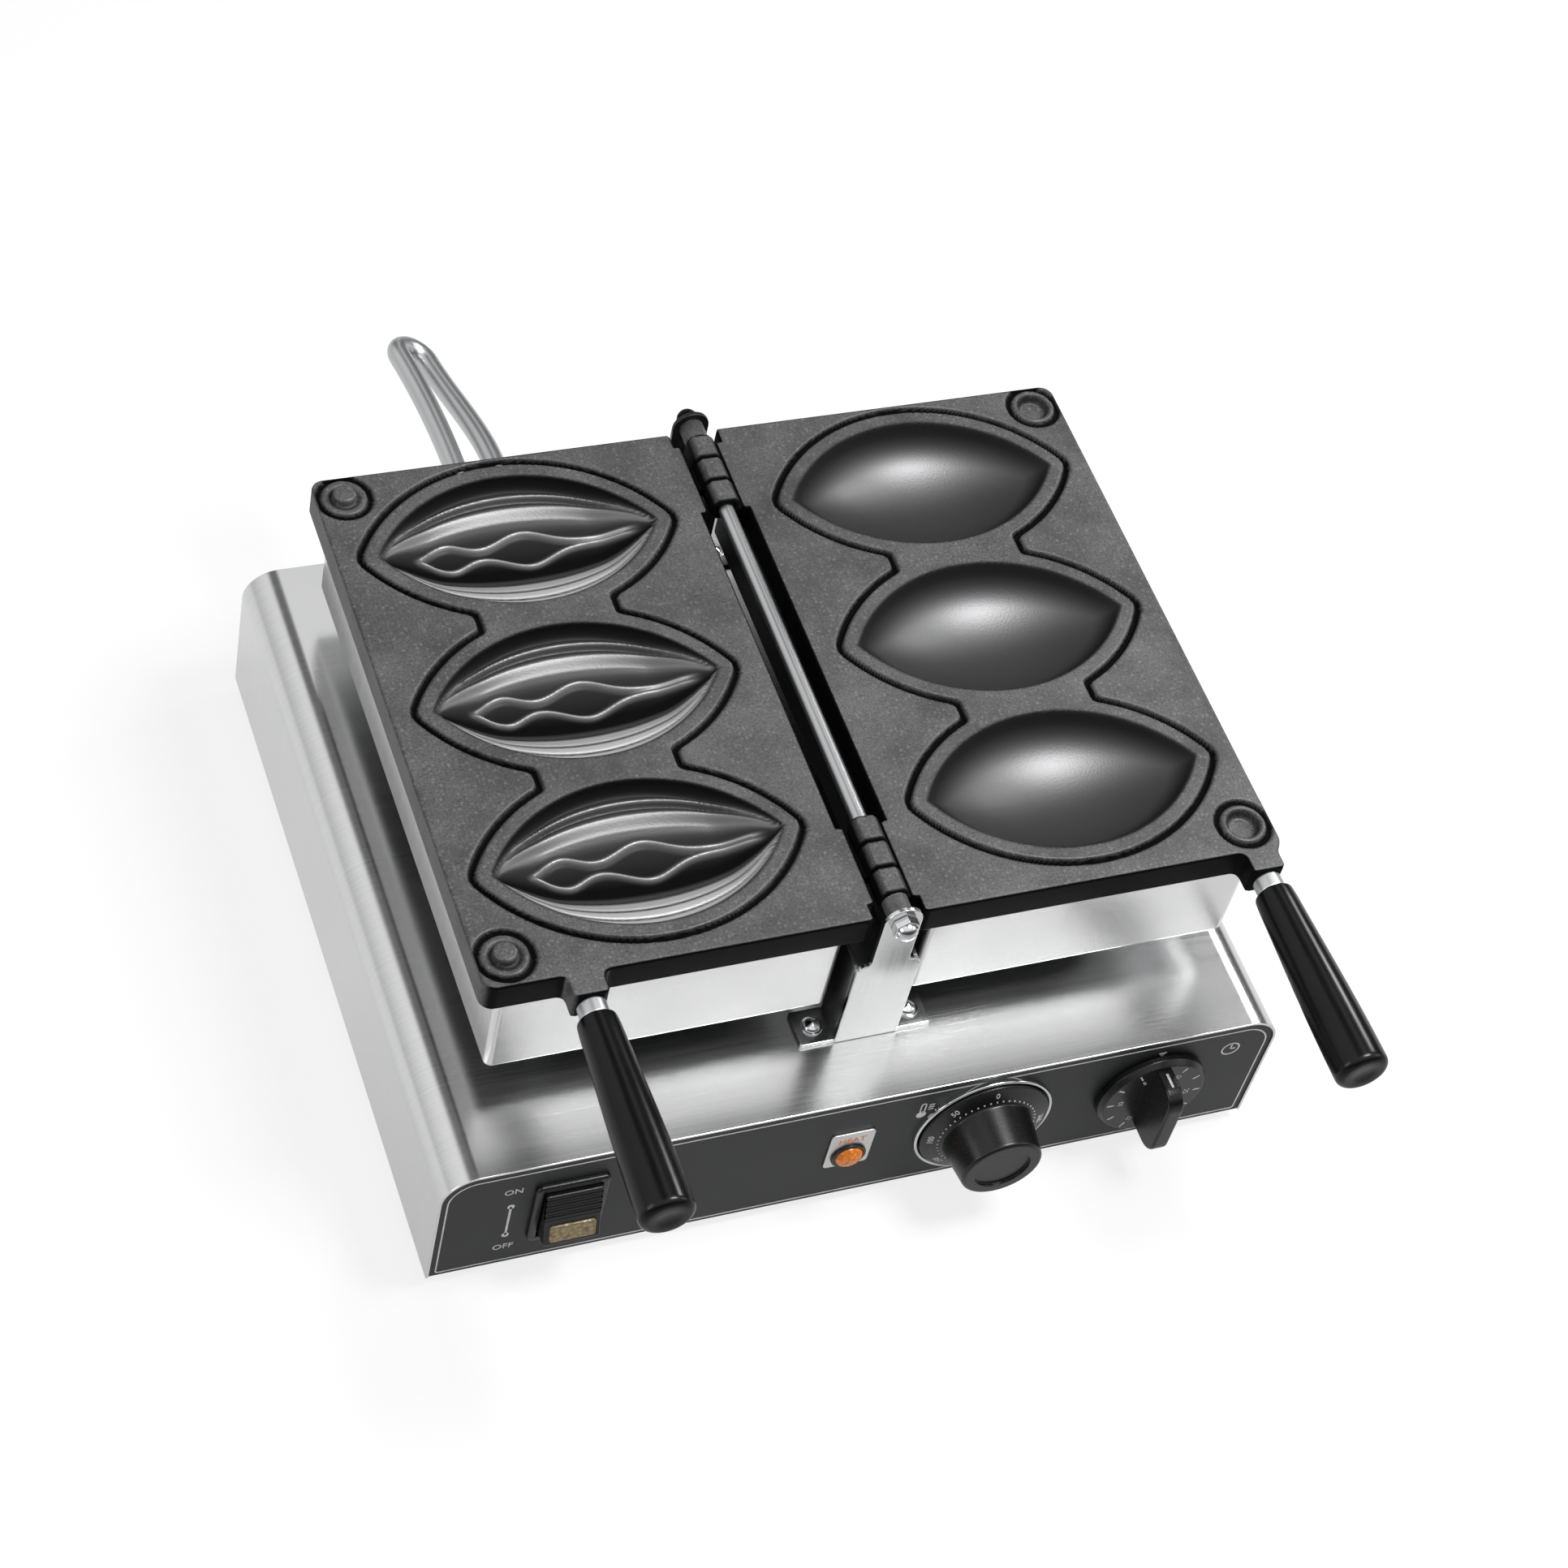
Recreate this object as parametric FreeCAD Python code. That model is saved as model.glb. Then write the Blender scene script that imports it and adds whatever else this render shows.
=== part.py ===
"""Book-opening waffle baker with almond moulds, modelled piece by piece.

Millimetres, +Z up, +X to the right of someone who stands in front of the controls, +Y away from
them. Lengths along Y are measured from the front of the base; every piece is then moved so that
the origin lies on the floor under the middle of the whole object.
"""
import FreeCAD, Part
import math
import os
from FreeCAD import Vector

# Base housing: a bent stainless sheet closed by two panels and a bottom plate
base_width = 450.0
base_depth = 390.0
base_height = 86.0
base_edge_radius = 19.0
sheet = 1.5
seam = 0.2
flange_width = 14.0
lip_height = 12.0
panel_thickness = 2.0
panel_recess = 0.8

# Rubber feet
foot_gap = 8.0
foot_top_radius = 13.0
foot_bottom_radius = 11.0
foot_inset = 42.0
foot_recess_radius = 5.5
foot_recess_depth = 5.0

# Screws and nuts of the sheet metal
screw_radius = 2.0
screw_head_radius = 4.2
screw_head_height = 2.4
screw_clearance = 0.1
nut_flats = 7.0
nut_height = 3.2

# How far a cutting tool runs past the face it cuts
past = 1.0

# Hinge line
hinge_x = 4.5
hinge_height = 97.3
shaft_radius = 4.0
running_fit = 0.05
knuckle_half = 7.2
knuckle_chamfer = 3.0
knuckle_width = 15.6
knuckle_gap = 0.4
knuckle_inset = 9.2
lug_clearance = 1.3
spacer_radius = 6.5
shaft_nut_flats = 12.0
shaft_nut_height = 5.0
shaft_nut_dome = 4.5
shaft_thread = 7.0

# Pedestals that carry the shaft
pedestal_sheet = 2.5
pedestal_gap = 2.2
pedestal_width = 33.7
pedestal_shoulder = 64.0
pedestal_flange_height = 61.0
pedestal_depth = 21.0
tongue_width = 20.0
tab_width = 18.0

# Mould plates
plate_front = 41.0
plate_length = 322.5
plate_inner = 13.0
plate_outer = 208.0
plate_thickness = 17.0
plate_corner_radius = 7.0
face_gap = 0.3

# Moulds: almonds of two arcs, lying across the plate
mould_margin = 24.0
mould_shift = 1.5
mould_half_width = 42.0
mould_row_start = 63.5
mould_row_end = 56.0
mould_count = 3
dish_depth = 24.0
dish_spread = 5.0
dish_wall = 5.0
bulge_inset = 6.0
step_inset = 7.0
step_depth = 4.5
step_count = 3
ridge_inset = 27.5
ridge_half_width = 7.0
ridge_height = 5.0
groove_offset = 10.5
groove_neck = 36.0
groove_width = 3.5
groove_depth = 3.0

# Guide pins and sockets at the outer corners of the plates
guide_inset_side = 15.0
guide_inset_front = 17.5
guide_inset_back = 14.0
guide_moat_outer = 15.0
guide_moat_inner = 12.0
guide_moat_depth = 2.5
guide_pin_radius = 6.0
guide_pin_rise = 4.0
guide_pin_seat = 6.0
guide_pin_chamfer = 1.5
guide_socket_radius = 8.2
guide_socket_depth = 6.5

# Heater boxes under the plates
box_gap = 21.0
box_sheet = 1.2
box_inset_end = 5.5
box_inset_outer = 10.0
box_inset_inner = 9.0
box_corner_radius = 4.0
element_radius = 3.3
element_inset = 9.0
element_bend = 14.0
element_clearance = 0.2
element_pin_radius = 1.6
element_pin_length = 12.0
element_mouth = 44.0
clamp_width = 12.0
clamp_cover = 3.2
stud_inset = 11.5
stud_radius = 2.5
stud_seat = 9.0
stud_nut_flats = 8.0
mat_thickness = 12.0
mat_margin = 4.0
mat_hole_gap = 1.0
gland_inset = 23.0
gland_radius = 9.0
gland_hole_radius = 7.0
gland_bore_radius = 4.5
gland_lip = 2.5

# Rest posts on the base under the heater boxes
post_radius = 8.0
post_inset = 58.0
post_end_inset = 49.0
pad_thickness = 4.0
rest_gap = 0.3

# Handles
right_handle_inset = 13.0
left_handle_inset = 49.0
lug_width = 18.0
lug_length = 12.0
lug_root_radius = 8.0
handle_stud_radius = 4.0
handle_stud_seat = 14.0
ferrule_radius = 7.4
ferrule_length = 9.0
ferrule_chamfer = 1.5
grip_length = 110.0
grip_neck_radius = 10.2
grip_end_radius = 13.8
grip_neck_chamfer = 1.5
grip_round = 4.0
grip_bore_depth = 62.0

# Bar loop on the back of the left plate
loop_radius = 5.9
loop_spacing = 21.0
loop_inset = 90.0
loop_reach = 103.0
loop_seat = 12.0
loop_tilt = 9.0
loop_neck = 17.0
loop_drop = 10.0

# Control panel
control_height = 43.0
switch_inset = 68.0
timer_inset = 66.0
thermostat_spacing = 94.5
lamp_spacing = 73.0
switch_bezel_width = 38.0
switch_bezel_height = 48.0
switch_bezel_thickness = 3.0
switch_depth = 32.0
switch_wall = 1.7
switch_border = 2.5
rocker_clearance = 0.3
rocker_end_clearance = 2.4
rocker_rise = 9.8
rocker_sink = 7.0
rocker_pivot_depth = 4.2
rocker_pin_radius = 2.0
rocker_pin_grip = 1.2
rocker_tilt = 12.0
rocker_lens_height = 11.0
rocker_lens_depth = 3.0
rocker_lens_border = 2.5
rib_count = 3
rib_pitch = 5.0
rib_depth = 1.4
lamp_plate_width = 24.0
lamp_plate_height = 29.0
lamp_plate_thickness = 1.2
lamp_drop = 5.0
lamp_lens_radius = 7.5
lamp_lens_rise = 5.0
lamp_body_radius = 9.0
lamp_body_length = 24.0
dial_gap = 1.2
dial_thickness = 6.0
dial_edge = 3.0
knob_edge = 2.0
thermostat_dial_radius = 35.0
thermostat_knob_radius = 24.5
thermostat_knob_taper = 3.0
thermostat_knob_length = 23.0
thermostat_cap_recess = 1.6
thermostat_cap_radius = 15.0
timer_dial_radius = 30.0
timer_bar_thickness = 9.0
timer_bar_length = 50.0
timer_bar_rise = 20.0
rim_gap = 0.6
rim_width = 2.0
rim_depth = 3.0
control_shaft_radius = 3.0
bushing_radius = 4.9
bushing_rise = 4.0
control_nut_radius = 8.0
control_nut_height = 2.5
knob_recess_radius = 10.5
knob_recess_depth = 5.0
knob_bore_depth = 16.0
thermostat_body_size = 40.0
timer_body_size = 50.0
control_body_depth = 28.0
shaft_sink = 14.0

# Mains entry and terminals
entry_inset = 75.0
entry_radius = 12.0
entry_length = 10.0
entry_hole_radius = 9.0
entry_bore_radius = 4.5
entry_nut_height = 6.0
terminal_width = 62.0
terminal_depth = 22.0
terminal_height = 18.0
terminal_setback = 60.0
earth_spacing = 70.0
vent_count = 9
vent_pitch = 16.0
vent_width = 5.0
vent_height = 34.0
vent_inset = 165.0

# Heights and depths that follow from the sizes above
z_base = foot_gap
z_deck = z_base + base_height
z_floor_plate = z_base + sheet
z_axis = z_deck + hinge_height
z_face = z_axis - face_gap
z_under = z_face - plate_thickness
z_box = z_deck + box_gap
z_grip = z_face - plate_thickness / 2
z_control = z_base + control_height
plate_back = plate_front + plate_length
panel_front = panel_recess
panel_back = panel_recess + panel_thickness
rear_inside = base_depth - panel_back
pedestal_front = plate_front - pedestal_gap - pedestal_sheet
pedestal_rear = plate_back + pedestal_gap + pedestal_sheet
lug_face = math.hypot(knuckle_half, knuckle_half - knuckle_chamfer) + lug_clearance
box_inner = plate_inner + box_inset_inner
box_outer = plate_outer - box_inset_outer
box_front = plate_front + box_inset_end
box_back = plate_back - box_inset_end
grip_start = plate_front - lug_length - ferrule_length
front_reach = grip_start - grip_length
back_reach = plate_back + loop_reach
middle_y = (front_reach + back_reach) / 2
mould_middle = (plate_inner + plate_outer) / 2 + mould_shift
mould_half_length = (plate_outer - plate_inner) / 2 - mould_margin
mould_pitch = (plate_length - mould_row_start - mould_row_end) / (mould_count - 1)
mould_arc = (mould_half_length ** 2 + mould_half_width ** 2) / (2 * mould_half_width)
ridge_half_length = mould_half_length - ridge_inset
stud_offset = mould_half_length - stud_inset
gland_offset = box_inner + gland_inset
post_offset = plate_outer - post_inset
loop_middle = plate_outer - loop_inset
switch_x = switch_inset - base_width / 2
timer_x = base_width / 2 - timer_inset
thermostat_x = timer_x - thermostat_spacing
lamp_x = thermostat_x - lamp_spacing
entry_x = entry_inset - base_width / 2
earth_x = entry_x + earth_spacing
vent_middle_x = base_width / 2 - vent_inset
mould_rows = [plate_front + mould_row_start + i * mould_pitch for i in range(mould_count)]
mould_gaps = [(a + b) / 2 for a, b in zip(mould_rows, mould_rows[1:])]
sides = {"left": -1, "right": 1}
half_turn = math.sqrt(0.5)


def box(xs, ys, zs):
    """Block between two values along each axis, given in either order."""
    low = Vector(min(xs), min(ys), min(zs))
    return Part.makeBox(abs(xs[1] - xs[0]), abs(ys[1] - ys[0]), abs(zs[1] - zs[0]), low)


def rod(start, end, radius):
    """Round bar between two points."""
    run = end.sub(start)
    return Part.makeCylinder(radius, run.Length, start, run)


def turned(points, origin, axis):
    """Turned solid about an axis through origin; points are (radius, distance along the axis)."""
    across = Vector(1, 0, 0)
    corners = [origin + across * r + axis * t for r, t in points]
    wire = Part.makePolygon(corners + corners[:1])
    return Part.Face(wire).revolve(origin, axis, 360)


def hexagon(origin, axis, flats, height):
    """Hexagonal prism that starts at origin and runs along the axis."""
    side = Vector(0, 0, 1) if abs(axis.z) < 0.5 else Vector(0, 1, 0)
    other = axis.cross(side)
    reach = flats / math.sqrt(3)
    turns = [math.radians(60 * i) for i in range(6)]
    corners = [origin + side * (reach * math.cos(t)) + other * (reach * math.sin(t)) for t in turns]
    return Part.Face(Part.makePolygon(corners + corners[:1])).extrude(axis * height)


def fuse(shapes):
    """One solid out of shapes that share faces or overlap."""
    first, *rest = shapes
    return first.multiFuse(rest).removeSplitter()


def cut(shape, tools):
    """The shape less every tool."""
    return shape.cut(Part.makeCompound(tools))


def write(name, shape):
    """Put the origin under the middle of the object and write the piece."""
    placed = shape.copy()
    placed.translate(Vector(0, -middle_y, 0))
    placed.exportStep("parts/" + name + ".step")


def arch(half_width, low, high, radius, start, end):
    """Block along Y whose two upper edges are rounded, as bent sheet is."""
    bend = radius * (1 - half_turn)
    left_low = Vector(-half_width, start, low)
    left_high = Vector(-half_width, start, high - radius)
    left_mid = Vector(-half_width + bend, start, high - bend)
    left_top = Vector(-half_width + radius, start, high)
    right_top = Vector(half_width - radius, start, high)
    right_mid = Vector(half_width - bend, start, high - bend)
    right_high = Vector(half_width, start, high - radius)
    right_low = Vector(half_width, start, low)
    edges = [
        Part.LineSegment(left_low, left_high).toShape(),
        Part.Arc(left_high, left_mid, left_top).toShape(),
        Part.LineSegment(left_top, right_top).toShape(),
        Part.Arc(right_top, right_mid, right_high).toShape(),
        Part.LineSegment(right_high, right_low).toShape(),
        Part.LineSegment(right_low, left_low).toShape(),
    ]
    return Part.Face(Part.Wire(edges)).extrude(Vector(0, end - start, 0))


def screw(seat, axis, length):
    """Pan-head screw whose head sits on seat and whose shank runs the other way to axis."""
    head = turned([(0, 0), (screw_head_radius, 0), (screw_head_radius, screw_head_height / 2),
                   (screw_head_radius * half_turn, screw_head_height), (0, screw_head_height)],
                  seat, axis)
    return fuse([head, rod(seat, seat - axis * length, screw_radius)])


def nut(seat, axis):
    """Hexagon nut on a screw's shank, resting on seat."""
    body = hexagon(seat, axis, nut_flats, nut_height)
    return body.cut(rod(seat - axis * past, seat + axis * (nut_height + past),
                        screw_radius + screw_clearance))


def almond(side, row, offset, low, high):
    """Upright prism on an almond outline; a positive offset makes it larger all round."""
    radius = mould_arc + offset
    centre = mould_arc - mould_half_width
    half_length = math.sqrt(radius ** 2 - centre ** 2)
    half_width = radius - centre
    x = hinge_x + side * mould_middle
    tips = [Vector(x - half_length, row, low), Vector(x + half_length, row, low)]
    upper = Part.Arc(tips[0], Vector(x, row + half_width, low), tips[1]).toShape()
    lower = Part.Arc(tips[1], Vector(x, row - half_width, low), tips[0]).toShape()
    return Part.Face(Part.Wire([upper, lower])).extrude(Vector(0, 0, high - low))


def dish(side, row):
    """Bowed trough turned about a line above the face, cut off by the mould's outline as a rim."""
    x = hinge_x + side * mould_middle
    half_length = mould_half_length + dish_spread
    half_width = mould_half_width + dish_spread
    rise = (half_width ** 2 - dish_depth ** 2) / (2 * dish_depth)
    ends = [Vector(x - half_length, row, z_face), Vector(x + half_length, row, z_face)]
    above = [end + up * rise for end in ends]
    edges = [
        Part.Arc(ends[0], Vector(x, row, z_face - dish_depth), ends[1]).toShape(),
        Part.LineSegment(ends[1], above[1]).toShape(),
        Part.LineSegment(above[1], above[0]).toShape(),
        Part.LineSegment(above[0], ends[0]).toShape(),
    ]
    trough = Part.Face(Part.Wire(edges)).revolve(above[0], right, 360)
    return trough.common(almond(side, row, 0, z_face - dish_depth - past, z_face + past))


def knuckle_slots():
    """Ranges along Y of the hinge knuckles, in from each end of the plate, nearest the end first."""
    pitch = knuckle_width + knuckle_gap
    groups = []
    for end, inward in ((plate_front, 1), (plate_back, -1)):
        starts = [end + inward * (knuckle_inset + i * pitch) for i in range(3)]
        groups.append([(start, start + inward * knuckle_width) for start in starts])
    return groups


def guide_places(side):
    """Places of the guide pins or sockets near the outer edge of a plate."""
    x = hinge_x + side * (plate_outer - guide_inset_side)
    return [(x, plate_front + guide_inset_front), (x, plate_back - guide_inset_back)]


def stud_places(side):
    """Places of the studs that hold a heater box, between the moulds and clear of their tips."""
    middle = hinge_x + side * mould_middle
    return [(middle + offset, y) for offset in (-stud_offset, stud_offset) for y in mould_gaps]


def handle_x(name):
    """Place of a handle along X, set in from the plate's outer edge."""
    inset = left_handle_inset if name == "left" else right_handle_inset
    return hinge_x + sides[name] * (plate_outer - inset)


def screw_hole(x, y, low, high):
    """Upright clearance hole for a screw."""
    return rod(Vector(x, y, low), Vector(x, y, high), screw_radius + screw_clearance)


up = Vector(0, 0, 1)
back = Vector(0, 1, 0)
right = Vector(1, 0, 0)
os.makedirs("parts", exist_ok=True)

# Places shared by the housing and what stands on it
foot_places = [(x, y) for x in (foot_inset - base_width / 2, base_width / 2 - foot_inset)
               for y in (foot_inset, base_depth - foot_inset)]
tab_screw_x = pedestal_width / 2 + tab_width / 2
tab_screw_places = [(hinge_x + s * tab_screw_x, y) for s in (-1, 1)
                    for y in (pedestal_front + pedestal_depth / 2, pedestal_rear - pedestal_depth / 2)]
post_places = [(hinge_x + s * post_offset, y) for s in (-1, 1)
               for y in (plate_front + post_end_inset, plate_back - post_end_inset)]
plate_middle_y = (plate_front + plate_back) / 2
gland_places = {name: (hinge_x + s * gland_offset, plate_middle_y) for name, s in sides.items()}
flange_screw_x = base_width / 2 - sheet - flange_width / 2
flange_screw_places = [(s * flange_screw_x, y) for s in (-1, 1)
                       for y in (foot_inset, base_depth / 2, base_depth - foot_inset)]
lip_screw_z = z_floor_plate + sheet + lip_height / 2
lip_screw_xs = [s * k * base_width / 5 for s in (-1, 1) for k in (1, 2)]


def make_housing():
    """Bent top and sides in one sheet, with inward flanges along the lower edges."""
    outer = arch(base_width / 2, z_base, z_deck, base_edge_radius, 0, base_depth)
    hollow = arch(base_width / 2 - sheet, z_base - sheet, z_deck - sheet, base_edge_radius - sheet,
                  -seam, base_depth + seam)
    flange_ends = (panel_back + seam, rear_inside - seam)
    flange_in = base_width / 2 - sheet - flange_width
    flanges = [box((s * base_width / 2, s * flange_in), flange_ends, (z_base, z_base + sheet))
               for s in (-1, 1)]
    shell = fuse([outer.cut(hollow)] + flanges)
    holes = [screw_hole(x, y, z_deck - 2 * sheet, z_deck + sheet)
             for x, y in tab_screw_places + post_places]
    holes += [screw_hole(x, y, z_base - sheet, z_base + 2 * sheet) for x, y in flange_screw_places]
    holes += [rod(Vector(x, y, z_deck - 2 * sheet), Vector(x, y, z_deck + sheet),
                  gland_hole_radius + screw_clearance) for x, y in gland_places.values()]
    return cut(shell, holes)


def panel_blank(start, end):
    """Panel that fills the end of the housing with a thin seam all round."""
    gap = sheet + seam
    return arch(base_width / 2 - gap, z_base, z_deck - gap, base_edge_radius - gap, start, end)


def make_front_panel():
    """Front panel with the cut-outs of the controls."""
    through = (panel_front - past, panel_back + past)
    wide = switch_bezel_width / 2 - switch_border + seam
    tall = switch_bezel_height / 2 - switch_border + seam
    holes = [box((switch_x - wide, switch_x + wide), through, (z_control - tall, z_control + tall))]
    rounds = [(lamp_x, z_control - lamp_drop, lamp_lens_radius + screw_clearance)]
    rounds += [(x, z_control, bushing_radius + screw_clearance) for x in (thermostat_x, timer_x)]
    for x, z, radius in rounds:
        holes.append(rod(Vector(x, through[0], z), Vector(x, through[1], z), radius))
    return cut(panel_blank(panel_front, panel_back), holes)


def make_rear_panel():
    """Rear panel with the mains entry, a row of vent slots and the screw holes."""
    start = rear_inside
    end = rear_inside + panel_thickness
    ends = (start - past, end + past)
    holes = [rod(Vector(entry_x, ends[0], z_control), Vector(entry_x, ends[1], z_control),
                 entry_hole_radius + screw_clearance)]
    for x in lip_screw_xs:
        holes.append(rod(Vector(x, ends[0], lip_screw_z), Vector(x, ends[1], lip_screw_z),
                         screw_radius + screw_clearance))
    for i in range(vent_count):
        x = vent_middle_x + (i - (vent_count - 1) / 2) * vent_pitch
        low = z_control - vent_height / 2 + lip_height / 2
        holes.append(box((x - vent_width / 2, x + vent_width / 2), ends, (low, low + vent_height)))
    return cut(panel_blank(start, end), holes)


def make_bottom_plate():
    """Bottom plate on the housing's flanges, with a lip behind each panel."""
    half = base_width / 2 - sheet - seam
    low = z_floor_plate
    high = low + sheet
    floor = box((-half, half), (panel_back, rear_inside), (low, high))
    lips = [box((-half, half), (panel_back, panel_back + sheet), (low, high + lip_height)),
            box((-half, half), (rear_inside - sheet, rear_inside), (low, high + lip_height))]
    plate = fuse([floor] + lips)
    holes = [screw_hole(x, y, low - past, high + past) for x, y in foot_places + flange_screw_places]
    for x in lip_screw_xs:
        holes.append(rod(Vector(x, rear_inside - 2 * sheet, lip_screw_z),
                         Vector(x, rear_inside + past, lip_screw_z), screw_radius + screw_clearance))
    holes.append(screw_hole(earth_x, rear_inside - terminal_setback, low - past, high + past))
    return cut(plate, holes)


def make_feet():
    """Rubber feet with a recess for the screw head, and their screws with nuts."""
    feet = []
    screws = []
    for x, y in foot_places:
        base = Vector(x, y, 0)
        body = turned([(0, 0), (foot_bottom_radius, 0), (foot_top_radius, z_floor_plate),
                       (0, z_floor_plate)], base, up)
        recess = rod(base - up * past, base + up * foot_recess_depth, foot_recess_radius)
        feet.append(cut(body, [recess, screw_hole(x, y, 0, z_floor_plate + past)]))
        seat = base + up * foot_recess_depth
        length = z_floor_plate + sheet + nut_height + sheet - foot_recess_depth
        screws.append(screw(seat, -up, length))
        screws.append(nut(Vector(x, y, z_floor_plate + sheet), up))
    return feet, screws


write("housing_shell", make_housing())
write("front_panel", make_front_panel())
write("rear_panel", make_rear_panel())
write("bottom_plate", make_bottom_plate())
rubber_feet, foot_screws = make_feet()
write("rubber_feet", Part.makeCompound(rubber_feet))
write("foot_screws", Part.makeCompound(foot_screws))
bottom_screws = []
for x, y in flange_screw_places:
    bottom_screws.append(screw(Vector(x, y, z_base), -up, 2 * sheet + nut_height + sheet))
    bottom_screws.append(nut(Vector(x, y, z_base + 2 * sheet), up))
write("bottom_plate_screws", Part.makeCompound(bottom_screws))
rear_screws = []
for x in lip_screw_xs:
    seat = Vector(x, rear_inside + panel_thickness, lip_screw_z)
    rear_screws.append(screw(seat, back, panel_thickness + sheet + nut_height + sheet))
    rear_screws.append(nut(Vector(x, rear_inside - sheet, lip_screw_z), -back))
write("rear_panel_screws", Part.makeCompound(rear_screws))


def make_pedestal(face, inward):
    """Bent bracket: a face with a round-topped tongue, two side flanges and two foot tabs."""
    half = pedestal_width / 2
    faces = (face, face + inward * pedestal_sheet)
    depth = (face, face + inward * pedestal_depth)
    lower = box((hinge_x - half, hinge_x + half), faces, (z_deck, z_deck + pedestal_shoulder))
    tongue_half = tongue_width / 2
    tongue = box((hinge_x - tongue_half, hinge_x + tongue_half), faces, (z_deck, z_axis))
    eye = rod(Vector(hinge_x, faces[0], z_axis), Vector(hinge_x, faces[1], z_axis), tongue_half)
    pieces = [lower, tongue, eye]
    for s in (-1, 1):
        wall = (hinge_x + s * half, hinge_x + s * (half - pedestal_sheet))
        pieces.append(box(wall, depth, (z_deck, z_deck + pedestal_flange_height)))
        tab = (hinge_x + s * (half - pedestal_sheet), hinge_x + s * (half + tab_width))
        pieces.append(box(tab, depth, (z_deck, z_deck + pedestal_sheet)))
    ends = (face - inward * past, faces[1] + inward * past)
    holes = [rod(Vector(hinge_x, ends[0], z_axis), Vector(hinge_x, ends[1], z_axis),
                 shaft_radius + running_fit)]
    holes += [screw_hole(x, y, z_deck - past, z_deck + pedestal_sheet + past)
              for x, y in tab_screw_places]
    return cut(fuse(pieces), holes)


write("front_pedestal", make_pedestal(pedestal_front, 1))
write("rear_pedestal", make_pedestal(pedestal_rear, -1))
pedestal_screws = []
for x, y in tab_screw_places:
    length = pedestal_sheet + sheet + nut_height + sheet
    pedestal_screws.append(screw(Vector(x, y, z_deck + pedestal_sheet), up, length))
    pedestal_screws.append(nut(Vector(x, y, z_deck - sheet), -up))
write("pedestal_screws", Part.makeCompound(pedestal_screws))

# Hinge shaft with a domed nut on each end and a spacer between pedestal and knuckles
shaft_ends = (pedestal_front - shaft_thread, pedestal_rear + shaft_thread)
write("hinge_shaft", rod(Vector(hinge_x, shaft_ends[0], z_axis), Vector(hinge_x, shaft_ends[1], z_axis),
                         shaft_radius))
shaft_nuts = []
spacers = []
for face, outward, group in ((pedestal_front, -1, 0), (pedestal_rear, 1, 1)):
    seat = Vector(hinge_x, face, z_axis)
    axis = back * outward
    dome_radius = shaft_nut_flats / 2
    dome = turned([(0, shaft_nut_height), (dome_radius, shaft_nut_height),
                   (dome_radius * half_turn, shaft_nut_height + shaft_nut_dome * half_turn),
                   (0, shaft_nut_height + shaft_nut_dome)], seat, axis)
    body = fuse([hexagon(seat, axis, shaft_nut_flats, shaft_nut_height), dome])
    shaft_nuts.append(body.cut(rod(seat - axis * past, seat + axis * (shaft_thread + seam),
                                   shaft_radius + running_fit)))
    inner = face - outward * pedestal_sheet
    first = knuckle_slots()[group][0][0] + outward * knuckle_gap
    ends = (Vector(hinge_x, inner, z_axis), Vector(hinge_x, first, z_axis))
    spacers.append(rod(*ends, spacer_radius).cut(rod(*ends, shaft_radius + running_fit)))
write("shaft_nuts", Part.makeCompound(shaft_nuts))
write("hinge_spacers", Part.makeCompound(spacers))

# Rest posts with silicone pads under the outer half of each heater box
post_top = z_box - rest_gap - pad_thickness
posts = []
pads = []
post_screws = []
for x, y in post_places:
    foot = Vector(x, y, z_deck)
    post = rod(foot, Vector(x, y, post_top), post_radius)
    posts.append(post.cut(screw_hole(x, y, z_deck - past, z_deck + post_radius)))
    pads.append(rod(Vector(x, y, post_top), Vector(x, y, post_top + pad_thickness), post_radius))
    post_screws.append(screw(foot - up * sheet, -up, sheet + post_radius - seam))
write("rest_posts", Part.makeCompound(posts))
write("rest_pads", Part.makeCompound(pads))
write("rest_post_screws", Part.makeCompound(post_screws))


def grommet(x, y, wall_low, wall):
    """Rubber bushing for the heater leads, with a lip on each side of a sheet."""
    start = Vector(x, y, wall_low - gland_lip)
    full = rod(start, start + up * (wall + 2 * gland_lip), gland_radius)
    ring_low = Vector(x, y, wall_low)
    ring = rod(ring_low, ring_low + up * wall, gland_radius + past)
    ring = ring.cut(rod(ring_low, ring_low + up * wall, gland_hole_radius))
    bore = rod(start - up * past, start + up * (wall + 2 * gland_lip + past), gland_bore_radius)
    return cut(full, [ring, bore])


write("base_lead_bushings", Part.makeCompound(
    [grommet(x, y, z_deck - sheet, sheet) for x, y in gland_places.values()]))


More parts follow.
